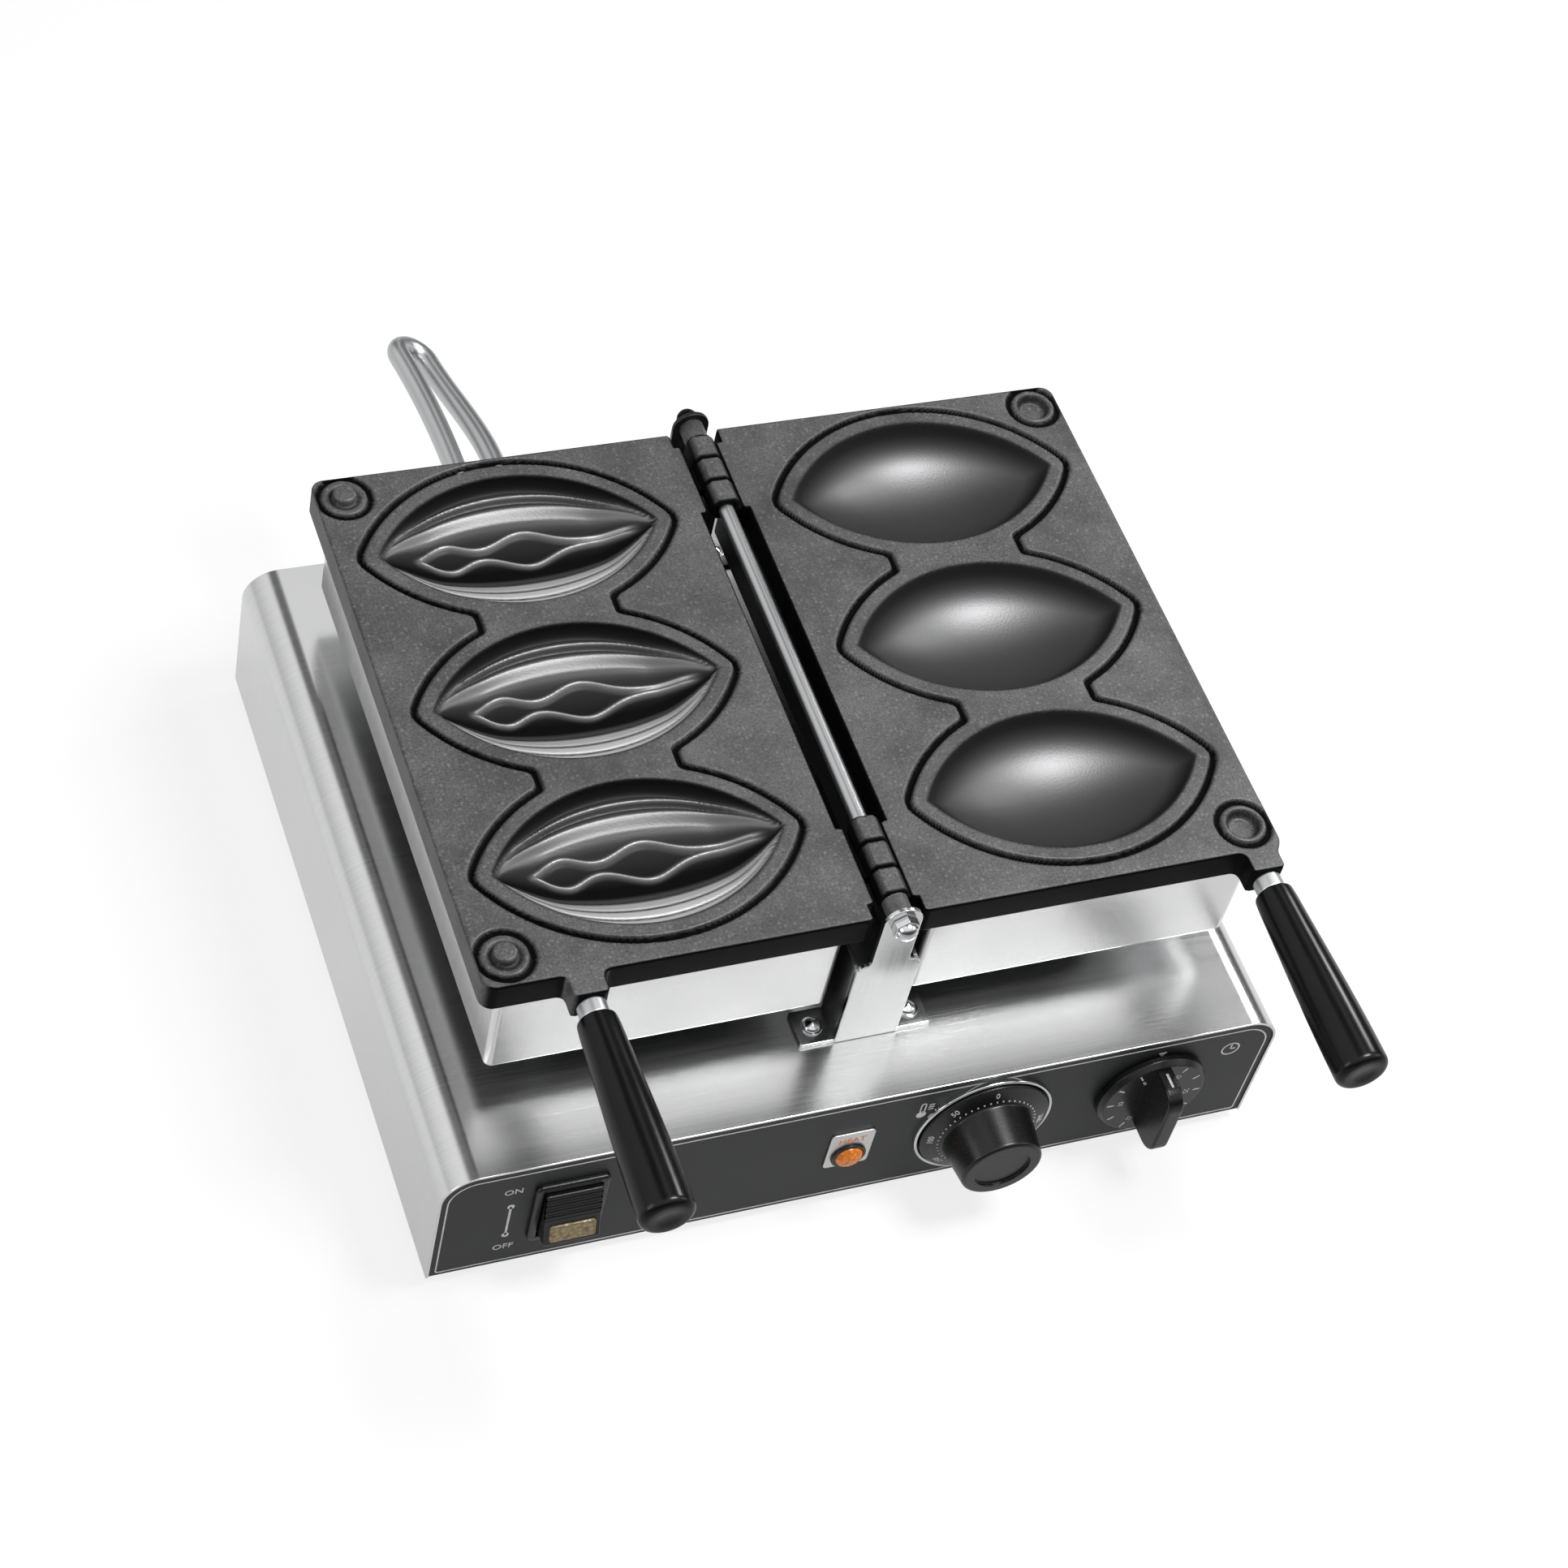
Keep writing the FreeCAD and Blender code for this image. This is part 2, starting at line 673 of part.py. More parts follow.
def make_plate(name):
    """Cast mould plate with its hinge lugs, handle lug, groove, guides and moulds."""
    side = sides[name]
    inner = hinge_x + side * plate_inner
    outer = hinge_x + side * plate_outer
    slab = box((inner, outer), (plate_front, plate_back), (z_under, z_face))
    corners = [e for e in slab.Edges
               if abs(e.Vertexes[0].Z - e.Vertexes[1].Z) > plate_thickness / 2
               and abs(e.Vertexes[0].X - outer) < seam]
    pieces = [slab.makeFillet(plate_corner_radius, corners)]
    for slots in knuckle_slots():
        span = (slots[0][0], slots[2][1])
        pieces.append(box((inner + side * past, hinge_x + side * lug_face), span, (z_under, z_face)))
    bulge_low = z_face - dish_depth - dish_wall
    pieces += [almond(side, row, -bulge_inset, bulge_low, z_under + past) for row in mould_rows]
    pieces.append(handle_lug(name))
    plate = fuse(pieces)
    groove_reach = groove_offset + groove_width / 2
    groove = (z_face - groove_depth, z_face + past)
    middle = hinge_x + side * mould_middle
    lands = []
    for reach, neck in ((groove_reach, groove_neck + groove_width / 2),
                        (groove_reach - groove_width, groove_neck - groove_width / 2)):
        waist = box((middle - neck, middle + neck), (mould_rows[0], mould_rows[-1]), groove)
        lands.append(fuse([waist] + [almond(side, row, reach, *groove) for row in mould_rows]))
    cuts = [lands[0].cut(lands[1])]
    for x, y in guide_places(side):
        low = Vector(x, y, z_face - guide_moat_depth)
        high = low + up * (guide_moat_depth + past)
        cuts.append(rod(low, high, guide_moat_outer).cut(rod(low, high, guide_moat_inner)))
        depth = guide_pin_seat if name == "left" else guide_socket_depth
        radius = guide_pin_radius + running_fit if name == "left" else guide_socket_radius
        cuts.append(rod(Vector(x, y, z_face - depth), Vector(x, y, z_face + past), radius))
    for x, y in stud_places(side):
        cuts.append(rod(Vector(x, y, z_under - past), Vector(x, y, z_under + stud_seat),
                        stud_radius + running_fit))
    seat_y = plate_front - lug_length
    cuts.append(rod(Vector(handle_x(name), seat_y - past, z_grip),
                    Vector(handle_x(name), seat_y + handle_stud_seat, z_grip),
                    handle_stud_radius + running_fit))
    return plate, cuts


def handle_lug(name):
    """Ear on the front edge that takes the handle's stud, flared where it leaves the plate."""
    x = handle_x(name)
    half = lug_width / 2
    end = plate_front - lug_length
    bend = lug_root_radius * (1 - half_turn)
    ear = box((x - half, x + half), (end, plate_front + plate_corner_radius), (z_under, z_face))
    pieces = [ear]
    flares = (-1, 1) if name == "left" else (-1,)
    for s in flares:
        root = Vector(x + s * (half + lug_root_radius), plate_front, z_under)
        curve = Vector(x + s * (half + bend), plate_front - bend, z_under)
        tip = Vector(x + s * half, plate_front - lug_root_radius, z_under)
        corner = Vector(x + s * half, plate_front, z_under)
        edges = [Part.Arc(root, curve, tip).toShape(), Part.LineSegment(tip, corner).toShape(),
                 Part.LineSegment(corner, root).toShape()]
        pieces.append(Part.Face(Part.Wire(edges)).extrude(up * plate_thickness))
    return fuse(pieces)


def make_right_plate():
    """The right plate has three smooth almond dishes."""
    plate, cuts = make_plate("right")
    return cut(plate, cuts + [dish(1, row) for row in mould_rows])


def make_left_plate():
    """The left plate's moulds step down in nested almonds round a low central ridge."""
    plate, cuts = make_plate("left")
    ridges = []
    for row in mould_rows:
        for i in range(step_count):
            low = z_face - (i + 1) * step_depth
            cuts.append(almond(-1, row, -i * step_inset, low, z_face + past))
        x = hinge_x - mould_middle
        floor = z_face - step_count * step_depth
        ends = [Vector(x - ridge_half_length, row, floor), Vector(x + ridge_half_length, row, floor)]
        bows = [Part.Arc(ends[0], Vector(x, row + s * ridge_half_width, floor), ends[1]).toShape()
                for s in (-1, 1)]
        ridges.append(Part.Face(Part.Wire(bows)).extrude(up * ridge_height))
    for x in loop_legs:
        cuts.append(rod(Vector(x, plate_back - loop_seat, z_grip),
                        Vector(x, plate_back + past, z_grip), loop_radius + running_fit))
    return fuse([cut(plate, cuts)] + ridges)


loop_legs = [hinge_x - loop_middle + s * loop_spacing / 2 for s in (-1, 1)]
write("left_plate", make_left_plate())
write("right_plate", make_right_plate())


def knuckle(side, ends):
    """Hinge eye: a chamfered square round the shaft on an arm that stands on the plate's lug."""
    a = knuckle_half
    b = knuckle_half - knuckle_chamfer
    outline = [(a, b), (b, a), (-b, a), (-a, b), (-a, -b), (-b, -a), (b, -a), (a, -b)]
    corners = [Vector(hinge_x + u, ends[0], z_axis + v) for u, v in outline]
    run = Vector(0, ends[1] - ends[0], 0)
    eye = Part.Face(Part.makePolygon(corners + corners[:1])).extrude(run)
    arm = box((hinge_x, hinge_x + side * lug_face), ends, (z_axis - a, z_face))
    hole = rod(Vector(hinge_x, min(ends) - past, z_axis), Vector(hinge_x, max(ends) + past, z_axis),
               shaft_radius + running_fit)
    return fuse([eye, arm]).cut(hole)


write("left_hinge_knuckles", Part.makeCompound([knuckle(-1, slots[1]) for slots in knuckle_slots()]))
write("right_hinge_knuckles", Part.makeCompound(
    [knuckle(1, slots[i]) for slots in knuckle_slots() for i in (0, 2)]))

# Guide pins of the left plate, with a chamfered tip
guide_pins = []
for x, y in guide_places(-1):
    seat = Vector(x, y, z_face - guide_pin_seat)
    tip = guide_pin_seat + guide_pin_rise
    guide_pins.append(turned([(0, 0), (guide_pin_radius, 0), (guide_pin_radius, tip - guide_pin_chamfer),
                              (guide_pin_radius - guide_pin_chamfer, tip), (0, tip)], seat, up))
write("left_guide_pins", Part.makeCompound(guide_pins))

# Bar loop pressed into the back edge of the left plate: two legs that lean over and a half turn between
loop_way = Vector(-math.sin(math.radians(loop_tilt)), math.cos(math.radians(loop_tilt)), 0)
loop_slope = -loop_way.x / loop_way.y
bend_chord = Vector(loop_neck, loop_neck * loop_slope, -loop_drop)
bend_radius = bend_chord.Length / 2
bend_rise = math.hypot(bend_chord.y / 2, bend_radius * loop_way.y)
loop_run = loop_reach - loop_radius - bend_rise - bend_chord.y / 2
leg_starts = [Vector(x, plate_back, z_grip) for x in loop_legs]
leg_ends = [leg_starts[0] + Vector(-loop_run * loop_slope / 2, loop_run, 0)]
leg_ends.append(leg_ends[0] + bend_chord)
straight_leg = Part.BezierCurve()
straight_leg.setPoles([leg_starts[0], leg_starts[0] + back * (loop_run / 2), leg_ends[0]])
bowed_leg = Part.BezierCurve()
bowed_leg.setPoles([leg_ends[1], leg_ends[1] - loop_way * (loop_run / 3),
                    leg_starts[1] + back * (loop_run / 3), leg_starts[1]])
bend_top = (leg_ends[0] + leg_ends[1]) * 0.5 + loop_way * bend_radius
seats = [start - back * loop_seat for start in leg_starts]
loop_path = Part.Wire([Part.makeLine(seats[0], leg_starts[0]), straight_leg.toShape(),
                       Part.Arc(leg_ends[0], bend_top, leg_ends[1]).toShape(), bowed_leg.toShape(),
                       Part.makeLine(leg_starts[1], seats[1])])
loop_section = Part.Wire([Part.makeCircle(loop_radius, seats[0], back)])
write("rear_bar_loop", loop_path.makePipeShell([loop_section], True, False))


def make_heater_box(name):
    """Folded steel tray under a plate, open towards it, with stud holes and a lead hole."""
    side = sides[name]
    xs = (hinge_x + side * box_inner, hinge_x + side * box_outer)
    ys = (box_front, box_back)
    outer = box(xs, ys, (z_box, z_under))
    uprights = [e for e in outer.Edges if abs(e.Vertexes[0].Z - e.Vertexes[1].Z) > box_gap]
    outer = outer.makeFillet(box_corner_radius, uprights)
    hollow = box((xs[0] + side * box_sheet, xs[1] - side * box_sheet),
                 (ys[0] + box_sheet, ys[1] - box_sheet), (z_box + box_sheet, z_under + past))
    uprights = [e for e in hollow.Edges if abs(e.Vertexes[0].Z - e.Vertexes[1].Z) > box_gap]
    hollow = hollow.makeFillet(box_corner_radius - box_sheet, uprights)
    through = (z_box - past, z_box + box_sheet + past)
    holes = [rod(Vector(x, y, through[0]), Vector(x, y, through[1]), stud_radius + screw_clearance)
             for x, y in stud_places(side)]
    x, y = gland_places[name]
    holes.append(rod(Vector(x, y, through[0]), Vector(x, y, through[1]),
                     gland_hole_radius + screw_clearance))
    return cut(outer, [hollow] + holes)


def make_element(name):
    """Tubular heater round the inside of the box, with a terminal pin on each end."""
    side = sides[name]
    near = hinge_x + side * (box_inner + element_inset)
    far = hinge_x + side * (box_outer - element_inset)
    front = box_front + element_inset
    rear = box_back - element_inset
    z = z_under - element_radius - element_clearance
    stops = (plate_middle_y + element_mouth / 2, plate_middle_y - element_mouth / 2)
    bend = element_bend * (1 - half_turn)
    path = []
    last = Vector(near, stops[0], z)
    turns = [(near, rear, 0, 1), (far, rear, side, 0), (far, front, 0, -1), (near, front, -side, 0)]
    heads = [(side, 0), (0, -1), (-side, 0), (0, 1)]
    for (x, y, in_x, in_y), (out_x, out_y) in zip(turns, heads):
        corner = Vector(x, y, z)
        enter = corner - Vector(in_x, in_y, 0) * element_bend
        leave = corner + Vector(out_x, out_y, 0) * element_bend
        middle = corner + Vector(out_x - in_x, out_y - in_y, 0) * bend
        path.append(Part.LineSegment(last, enter).toShape())
        path.append(Part.Arc(enter, middle, leave).toShape())
        last = leave
    end = Vector(near, stops[1], z)
    path.append(Part.LineSegment(last, end).toShape())
    section = Part.Wire([Part.makeCircle(element_radius, Vector(near, stops[0], z), back)])
    tube = Part.Wire(path).makePipeShell([section], True, False)
    pins = [rod(Vector(near, stops[0], z), Vector(near, stops[0] - element_pin_length, z),
                element_pin_radius),
            rod(end, end + back * element_pin_length, element_pin_radius)]
    return Part.makeCompound([tube] + pins)


def make_clamps(name):
    """Saddles that hold the heater against the underside of the plate, between the moulds."""
    side = sides[name]
    z = z_under - element_radius - element_clearance
    half = element_radius + clamp_cover
    bed_radius = element_radius + element_clearance
    clamps = []
    for x in (box_inner + element_inset, box_outer - element_inset):
        middle = hinge_x + side * x
        for y in mould_gaps:
            ends = (y - clamp_width / 2, y + clamp_width / 2)
            block = box((middle - half, middle + half), ends, (z - half, z_under))
            along = (ends[0] - past, ends[1] + past)
            bed = rod(Vector(middle, along[0], z), Vector(middle, along[1], z), bed_radius)
            mouth = box((middle - bed_radius, middle + bed_radius), along, (z, z_under + past))
            clamps.append(cut(block, [bed, mouth]))
    return Part.makeCompound(clamps)


def make_mat(name):
    """Ceramic fibre mat on the floor of the box, holed for the studs and the leads."""
    side = sides[name]
    reach = box_sheet + mat_margin
    low = z_box + box_sheet
    mat = box((hinge_x + side * (box_inner + reach), hinge_x + side * (box_outer - reach)),
              (box_front + reach, box_back - reach), (low, low + mat_thickness))
    places = [(x, y, stud_radius) for x, y in stud_places(side)] + [(*gland_places[name], gland_radius)]
    through = (low - past, low + mat_thickness + past)
    holes = [rod(Vector(x, y, through[0]), Vector(x, y, through[1]), radius + mat_hole_gap)
             for x, y, radius in places]
    return cut(mat, holes)


def make_box_studs(name):
    """Studs from the plate down through the box, each with a nut under the box."""
    pieces = []
    for x, y in stud_places(sides[name]):
        top = Vector(x, y, z_under + stud_seat)
        low = Vector(x, y, z_box - nut_height - sheet)
        pieces.append(rod(low, top, stud_radius))
        body = hexagon(Vector(x, y, z_box), -up, stud_nut_flats, nut_height)
        pieces.append(body.cut(rod(low - up, top, stud_radius + running_fit)))
    return Part.makeCompound(pieces)


def make_handle(name):
    """Stud, ferrule and tapered grip of a handle, all turned about one line along Y."""
    x = handle_x(name)
    seat = Vector(x, plate_front - lug_length, z_grip)
    forward = -back
    stud = rod(seat + back * handle_stud_seat, seat + forward * (ferrule_length + grip_bore_depth),
               handle_stud_radius)
    bore = rod(seat + back * past, seat + forward * (ferrule_length + grip_bore_depth),
               handle_stud_radius + running_fit)
    ferrule_end = ferrule_radius - ferrule_chamfer
    ferrule = turned([(0, 0), (ferrule_end, 0), (ferrule_radius, ferrule_chamfer),
                      (ferrule_radius, ferrule_length - ferrule_chamfer), (ferrule_end, ferrule_length),
                      (0, ferrule_length)], seat, forward).cut(bore)
    start = seat + forward * ferrule_length
    bend = grip_round * (1 - half_turn)
    grip = turned([(0, 0), (grip_neck_radius - grip_neck_chamfer, 0), (grip_neck_radius, grip_neck_chamfer),
                   (grip_end_radius, grip_length - grip_round), (grip_end_radius - bend, grip_length - bend),
                   (grip_end_radius - grip_round, grip_length), (0, grip_length)], start, forward)
    return stud, ferrule, grip.cut(bore)


for name in sides:
    write(name + "_heater_box", make_heater_box(name))
    write(name + "_heating_element", make_element(name))
    write(name + "_element_clamps", make_clamps(name))
    write(name + "_insulation_mat", make_mat(name))
    write(name + "_box_studs", make_box_studs(name))
    x, y = gland_places[name]
    write(name + "_lead_bushing", grommet(x, y, z_box, box_sheet))
    stud, ferrule, grip = make_handle(name)
    write(name + "_handle_stud", stud)
    write(name + "_handle_ferrule", ferrule)
    write(name + "_handle_grip", grip)

# Rocker switch: a framed body through the panel and a tilting button on two pins
rocker_pivot = Vector(switch_x, panel_front + rocker_pivot_depth, z_control)
cavity_half_width = switch_bezel_width / 2 - switch_border - switch_wall
cavity_half_height = switch_bezel_height / 2 - switch_border - switch_wall
rocker_half_width = cavity_half_width - rocker_clearance
rocker_half_height = cavity_half_height - rocker_end_clearance


def make_switch_body():
    """Bezel in front of the panel and a deep hollow body behind it."""
    wide = switch_bezel_width / 2
    tall = switch_bezel_height / 2
    bezel = box((switch_x - wide, switch_x + wide),
                (panel_front - switch_bezel_thickness, panel_front), (z_control - tall, z_control + tall))
    wide -= switch_border
    tall -= switch_border
    body = box((switch_x - wide, switch_x + wide), (panel_front, panel_front + switch_depth),
               (z_control - tall, z_control + tall))
    cavity = box((switch_x - cavity_half_width, switch_x + cavity_half_width),
                 (panel_front - switch_bezel_thickness - past, panel_front + switch_depth - switch_wall),
                 (z_control - cavity_half_height, z_control + cavity_half_height))
    pins = rod(rocker_pivot - right * (rocker_half_width + rocker_clearance + switch_wall),
               rocker_pivot + right * (rocker_half_width + rocker_clearance + switch_wall),
               rocker_pin_radius + running_fit)
    return cut(fuse([bezel, body]), [cavity, pins])


def make_rocker():
    """Ribbed button and the clear lens let into its lower end, tilted to the resting side."""
    front = panel_front - rocker_rise
    xs = (switch_x - rocker_half_width, switch_x + rocker_half_width)
    body = box(xs, (front, panel_front + rocker_sink),
               (z_control - rocker_half_height, z_control + rocker_half_height))
    pin_reach = right * (rocker_half_width + rocker_clearance + rocker_pin_grip)
    body = fuse([body, rod(rocker_pivot - pin_reach, rocker_pivot + pin_reach, rocker_pin_radius)])
    tools = []
    for i in range(rib_count):
        z = z_control + (i + 0.5) * rib_pitch
        tools.append(box(xs, (front - past, front + rib_depth), (z - rib_pitch / 4, z + rib_pitch / 4)))
    lens_xs = (xs[0] + rocker_lens_border, xs[1] - rocker_lens_border)
    lens_low = z_control - rocker_half_height + rocker_lens_border
    lens = box(lens_xs, (front, front + rocker_lens_depth), (lens_low, lens_low + rocker_lens_height))
    button = cut(body, tools + [lens])
    for piece in (button, lens):
        piece.rotate(rocker_pivot, right, -rocker_tilt)
    return button, lens


write("switch_body", make_switch_body())
rocker_button, rocker_lens = make_rocker()
write("rocker_button", rocker_button)
write("rocker_lens", rocker_lens)

# Indicator: a small plate on the panel, a domed lens through it and a lamp body behind
lamp_z = z_control - lamp_drop
plate_low = lamp_z - lamp_plate_height / 2 + lamp_drop
lamp_centre = Vector(lamp_x, panel_front, lamp_z)
lamp_plate = box((lamp_x - lamp_plate_width / 2, lamp_x + lamp_plate_width / 2),
                 (panel_front - lamp_plate_thickness, panel_front),
                 (plate_low, plate_low + lamp_plate_height))
lamp_hole = rod(lamp_centre - back * (lamp_plate_thickness + past), lamp_centre + back * past,
                lamp_lens_radius + screw_clearance)
write("indicator_plate", lamp_plate.cut(lamp_hole))
lens_rise = lamp_plate_thickness + lamp_lens_rise
lens_dome = lens_rise / 2
write("indicator_lens", turned(
    [(0, -panel_thickness), (lamp_lens_radius, -panel_thickness), (lamp_lens_radius, lens_dome),
     (lamp_lens_radius * half_turn, lens_dome * (1 + half_turn)), (0, lens_rise)],
    lamp_centre, -back))
lamp_seat = lamp_centre + back * panel_thickness
write("indicator_lamp", rod(lamp_seat, lamp_seat + back * lamp_body_length, lamp_body_radius))


def make_control_body(x, size):
    """Switch block behind the panel with a threaded bushing that carries the knob's shaft."""
    block = box((x - size / 2, x + size / 2), (panel_back, panel_back + control_body_depth),
                (z_control - size / 2, z_control + size / 2))
    centre = Vector(x, panel_back, z_control)
    bushing = rod(centre, centre - back * (panel_thickness + bushing_rise), bushing_radius)
    bore = rod(centre + back * (shaft_sink + seam), centre - back * (panel_thickness + bushing_rise + past),
               control_shaft_radius + running_fit)
    return fuse([block, bushing]).cut(bore)


def make_control_shaft(x):
    """Round shaft from inside the switch block to the bottom of the knob's bore."""
    start = Vector(x, panel_back + shaft_sink, z_control)
    end = Vector(x, panel_front - dial_gap - knob_bore_depth, z_control)
    return rod(start, end, control_shaft_radius)


def make_control_nut(x):
    """Round nut that holds a switch block's bushing to the panel."""
    seat = Vector(x, panel_front, z_control)
    body = rod(seat, seat - back * control_nut_height, control_nut_radius)
    return body.cut(rod(seat + back * past, seat - back * (control_nut_height + past),
                        bushing_radius + running_fit))


def knob_hollow(x):
    """Room in the back of a knob for the nut and bushing, and the bore for the shaft."""
    seat = Vector(x, panel_front - dial_gap, z_control)
    recess = rod(seat + back * past, seat - back * knob_recess_depth, knob_recess_radius)
    return [recess, rod(seat, seat - back * knob_bore_depth, control_shaft_radius + running_fit)]


def make_thermostat_knob():
    """Conical dial and a tapered grip with a shallow recess in its end."""
    seat = Vector(thermostat_x, panel_front - dial_gap, z_control)
    tip = dial_thickness + thermostat_knob_length
    end_radius = thermostat_knob_radius - thermostat_knob_taper
    body = turned([(0, 0), (thermostat_dial_radius, 0), (thermostat_dial_radius, dial_edge),
                   (thermostat_knob_radius, dial_thickness), (end_radius, tip - knob_edge),
                   (end_radius - knob_edge, tip), (0, tip)], seat, -back)
    recess = rod(seat - back * (tip - thermostat_cap_recess), seat - back * (tip + past),
                 thermostat_cap_radius)
    return cut(body, [recess] + knob_hollow(thermostat_x))


def make_timer_knob():
    """Flat dial with a bar across it to turn it by."""
    seat = Vector(timer_x, panel_front - dial_gap, z_control)
    dial = turned([(0, 0), (timer_dial_radius, 0), (timer_dial_radius, dial_edge),
                   (timer_dial_radius - knob_edge, dial_thickness), (0, dial_thickness)], seat, -back)
    half = timer_bar_thickness / 2
    front = seat.y - dial_thickness - timer_bar_rise
    bar = box((timer_x - half, timer_x + half), (seat.y - dial_thickness / 2, front),
              (z_control - timer_bar_length / 2, z_control + timer_bar_length / 2))
    rounded = [e for e in bar.Edges
               if abs(e.Vertexes[0].Y - front) < seam and abs(e.Vertexes[1].Y - front) < seam
               and abs(e.Vertexes[0].X - e.Vertexes[1].X) > half]
    bar = bar.makeFillet(timer_bar_rise / 2, rounded)
    return cut(fuse([dial, bar]), knob_hollow(timer_x))


write("thermostat_body", make_control_body(thermostat_x, thermostat_body_size))
write("timer_body", make_control_body(timer_x, timer_body_size))
write("control_nuts", Part.makeCompound([make_control_nut(x) for x in (thermostat_x, timer_x)]))
write("thermostat_shaft", make_control_shaft(thermostat_x))
write("timer_shaft", make_control_shaft(timer_x))
write("thermostat_knob", make_thermostat_knob())
write("timer_knob", make_timer_knob())
rim_inner = thermostat_dial_radius + rim_gap
rim_seat = Vector(thermostat_x, panel_front, z_control)
rim_ends = (rim_seat, rim_seat - back * rim_depth)
write("thermostat_rim", rod(*rim_ends, rim_inner + rim_width).cut(rod(*rim_ends, rim_inner)))

# Mains entry in the rear panel, terminal block and earth screw on the bottom plate
entry_face = Vector(entry_x, rear_inside + panel_thickness, z_control)
entry = fuse([rod(entry_face, entry_face + back * entry_length, entry_radius),
              rod(entry_face, entry_face - back * (panel_thickness + entry_nut_height), entry_hole_radius)])
entry_bore = rod(entry_face - back * (panel_thickness + entry_nut_height + past),
                 entry_face + back * (entry_length + past), entry_bore_radius)
write("mains_entry_gland", entry.cut(entry_bore))
nut_seat = entry_face - back * panel_thickness
entry_nut = hexagon(nut_seat, -back, 2 * entry_radius, entry_nut_height)
nut_bore = rod(nut_seat + back * past, nut_seat - back * (entry_nut_height + past),
               entry_hole_radius + running_fit)
write("mains_entry_nut", entry_nut.cut(nut_bore))
terminal_y = rear_inside - terminal_setback
write("terminal_block", box((entry_x - terminal_width / 2, entry_x + terminal_width / 2),
                            (terminal_y - terminal_depth / 2, terminal_y + terminal_depth / 2),
                            (z_floor_plate + sheet, z_floor_plate + sheet + terminal_height)))
earth_seat = Vector(earth_x, terminal_y, z_floor_plate + sheet)
write("earth_screw", screw(earth_seat, up, 2 * sheet))
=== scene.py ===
import math
import bmesh
import bpy
import numpy as np
from mathutils import Matrix


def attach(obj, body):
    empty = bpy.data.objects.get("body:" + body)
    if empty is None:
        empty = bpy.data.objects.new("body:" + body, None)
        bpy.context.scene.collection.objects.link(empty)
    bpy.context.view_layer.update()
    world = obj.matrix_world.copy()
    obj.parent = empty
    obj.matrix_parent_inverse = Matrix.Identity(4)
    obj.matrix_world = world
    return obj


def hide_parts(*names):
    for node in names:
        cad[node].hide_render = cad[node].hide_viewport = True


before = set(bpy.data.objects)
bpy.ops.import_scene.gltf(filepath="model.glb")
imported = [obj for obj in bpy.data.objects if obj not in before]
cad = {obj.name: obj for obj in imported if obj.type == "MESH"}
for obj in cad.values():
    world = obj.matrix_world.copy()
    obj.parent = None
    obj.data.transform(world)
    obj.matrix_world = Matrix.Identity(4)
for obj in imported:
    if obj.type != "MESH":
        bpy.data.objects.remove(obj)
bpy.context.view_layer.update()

# The studio: a matt white paper floor under the machine, a soft box overhead, a weaker one at each side
# and a small one behind on the right. The camera stands where the photographer stood, looking down and
# a little tilted.


def linear(hex_colour):
    """Linear colour of an sRGB hex value: each channel has the sRGB curve undone."""
    channels = np.array([int(hex_colour[i:i + 2], 16) for i in (1, 3, 5)]) / 255
    curve = np.where(channels <= 0.04045, channels / 12.92, ((channels + 0.055) / 1.055) ** 2.4)
    return (*curve.tolist(), 1.0)


def add(tree, kind, inputs=None, **settings):
    """Adds a node with its settings; an input is either a value or the output it is linked to."""
    made = tree.nodes.new(kind)
    for name, value in settings.items():
        setattr(made, name, value)
    for name, value in (inputs or {}).items():
        if isinstance(value, bpy.types.NodeSocket):
            tree.links.new(value, made.inputs[name])
        else:
            made.inputs[name].default_value = value
    return made


paper = bpy.data.materials.new("matt_white_paper")
paper.use_nodes = True
tree = paper.node_tree
tree.nodes.clear()
# The camera and mirrors see the paper mostly as plain white; the rest keeps the soft shadow.
ray = add(tree, "ShaderNodeLightPath")
seen = add(tree, "ShaderNodeMath", {0: ray.outputs["Is Camera Ray"], 1: ray.outputs["Is Glossy Ray"]},
           operation="ADD")
seen = add(tree, "ShaderNodeMath", {0: seen.outputs[0], 1: ray.outputs["Is Transmission Ray"]},
           operation="ADD", use_clamp=True)
share = add(tree, "ShaderNodeMath", {0: seen.outputs[0], 1: 0.78}, operation="MULTIPLY")
# In mirrors the paper falls off towards the front, where the lamps don't reach.
spot = add(tree, "ShaderNodeTexCoord")
axes = add(tree, "ShaderNodeSeparateXYZ", {0: spot.outputs["Object"]})
fall = add(tree, "ShaderNodeMapRange", {0: axes.outputs["Y"], 1: -0.6, 2: 0.0, 3: 0.3, 4: 0.85})
glow = add(tree, "ShaderNodeMix", {0: ray.outputs["Is Camera Ray"], 2: fall.outputs[0], 3: 1.0},
           data_type="FLOAT")
matt = add(tree, "ShaderNodeBsdfDiffuse", {"Color": linear("#f2f2f2")})
white = add(tree, "ShaderNodeEmission", {"Color": linear("#ffffff"), "Strength": glow.outputs[0]})
both = add(tree, "ShaderNodeMixShader", {0: share.outputs[0], 1: matt.outputs[0], 2: white.outputs[0]})
add(tree, "ShaderNodeOutputMaterial", {"Surface": both.outputs[0]})
mesh = bpy.data.meshes.new("paper_floor")
mesh.from_pydata([(-9, -9, 0), (9, -9, 0), (9, 9, 0), (-9, 9, 0)], [], [(0, 1, 2, 3)])
mesh.materials.append(paper)
floor = bpy.data.objects.new("paper_floor", mesh)
bpy.context.collection.objects.link(floor)

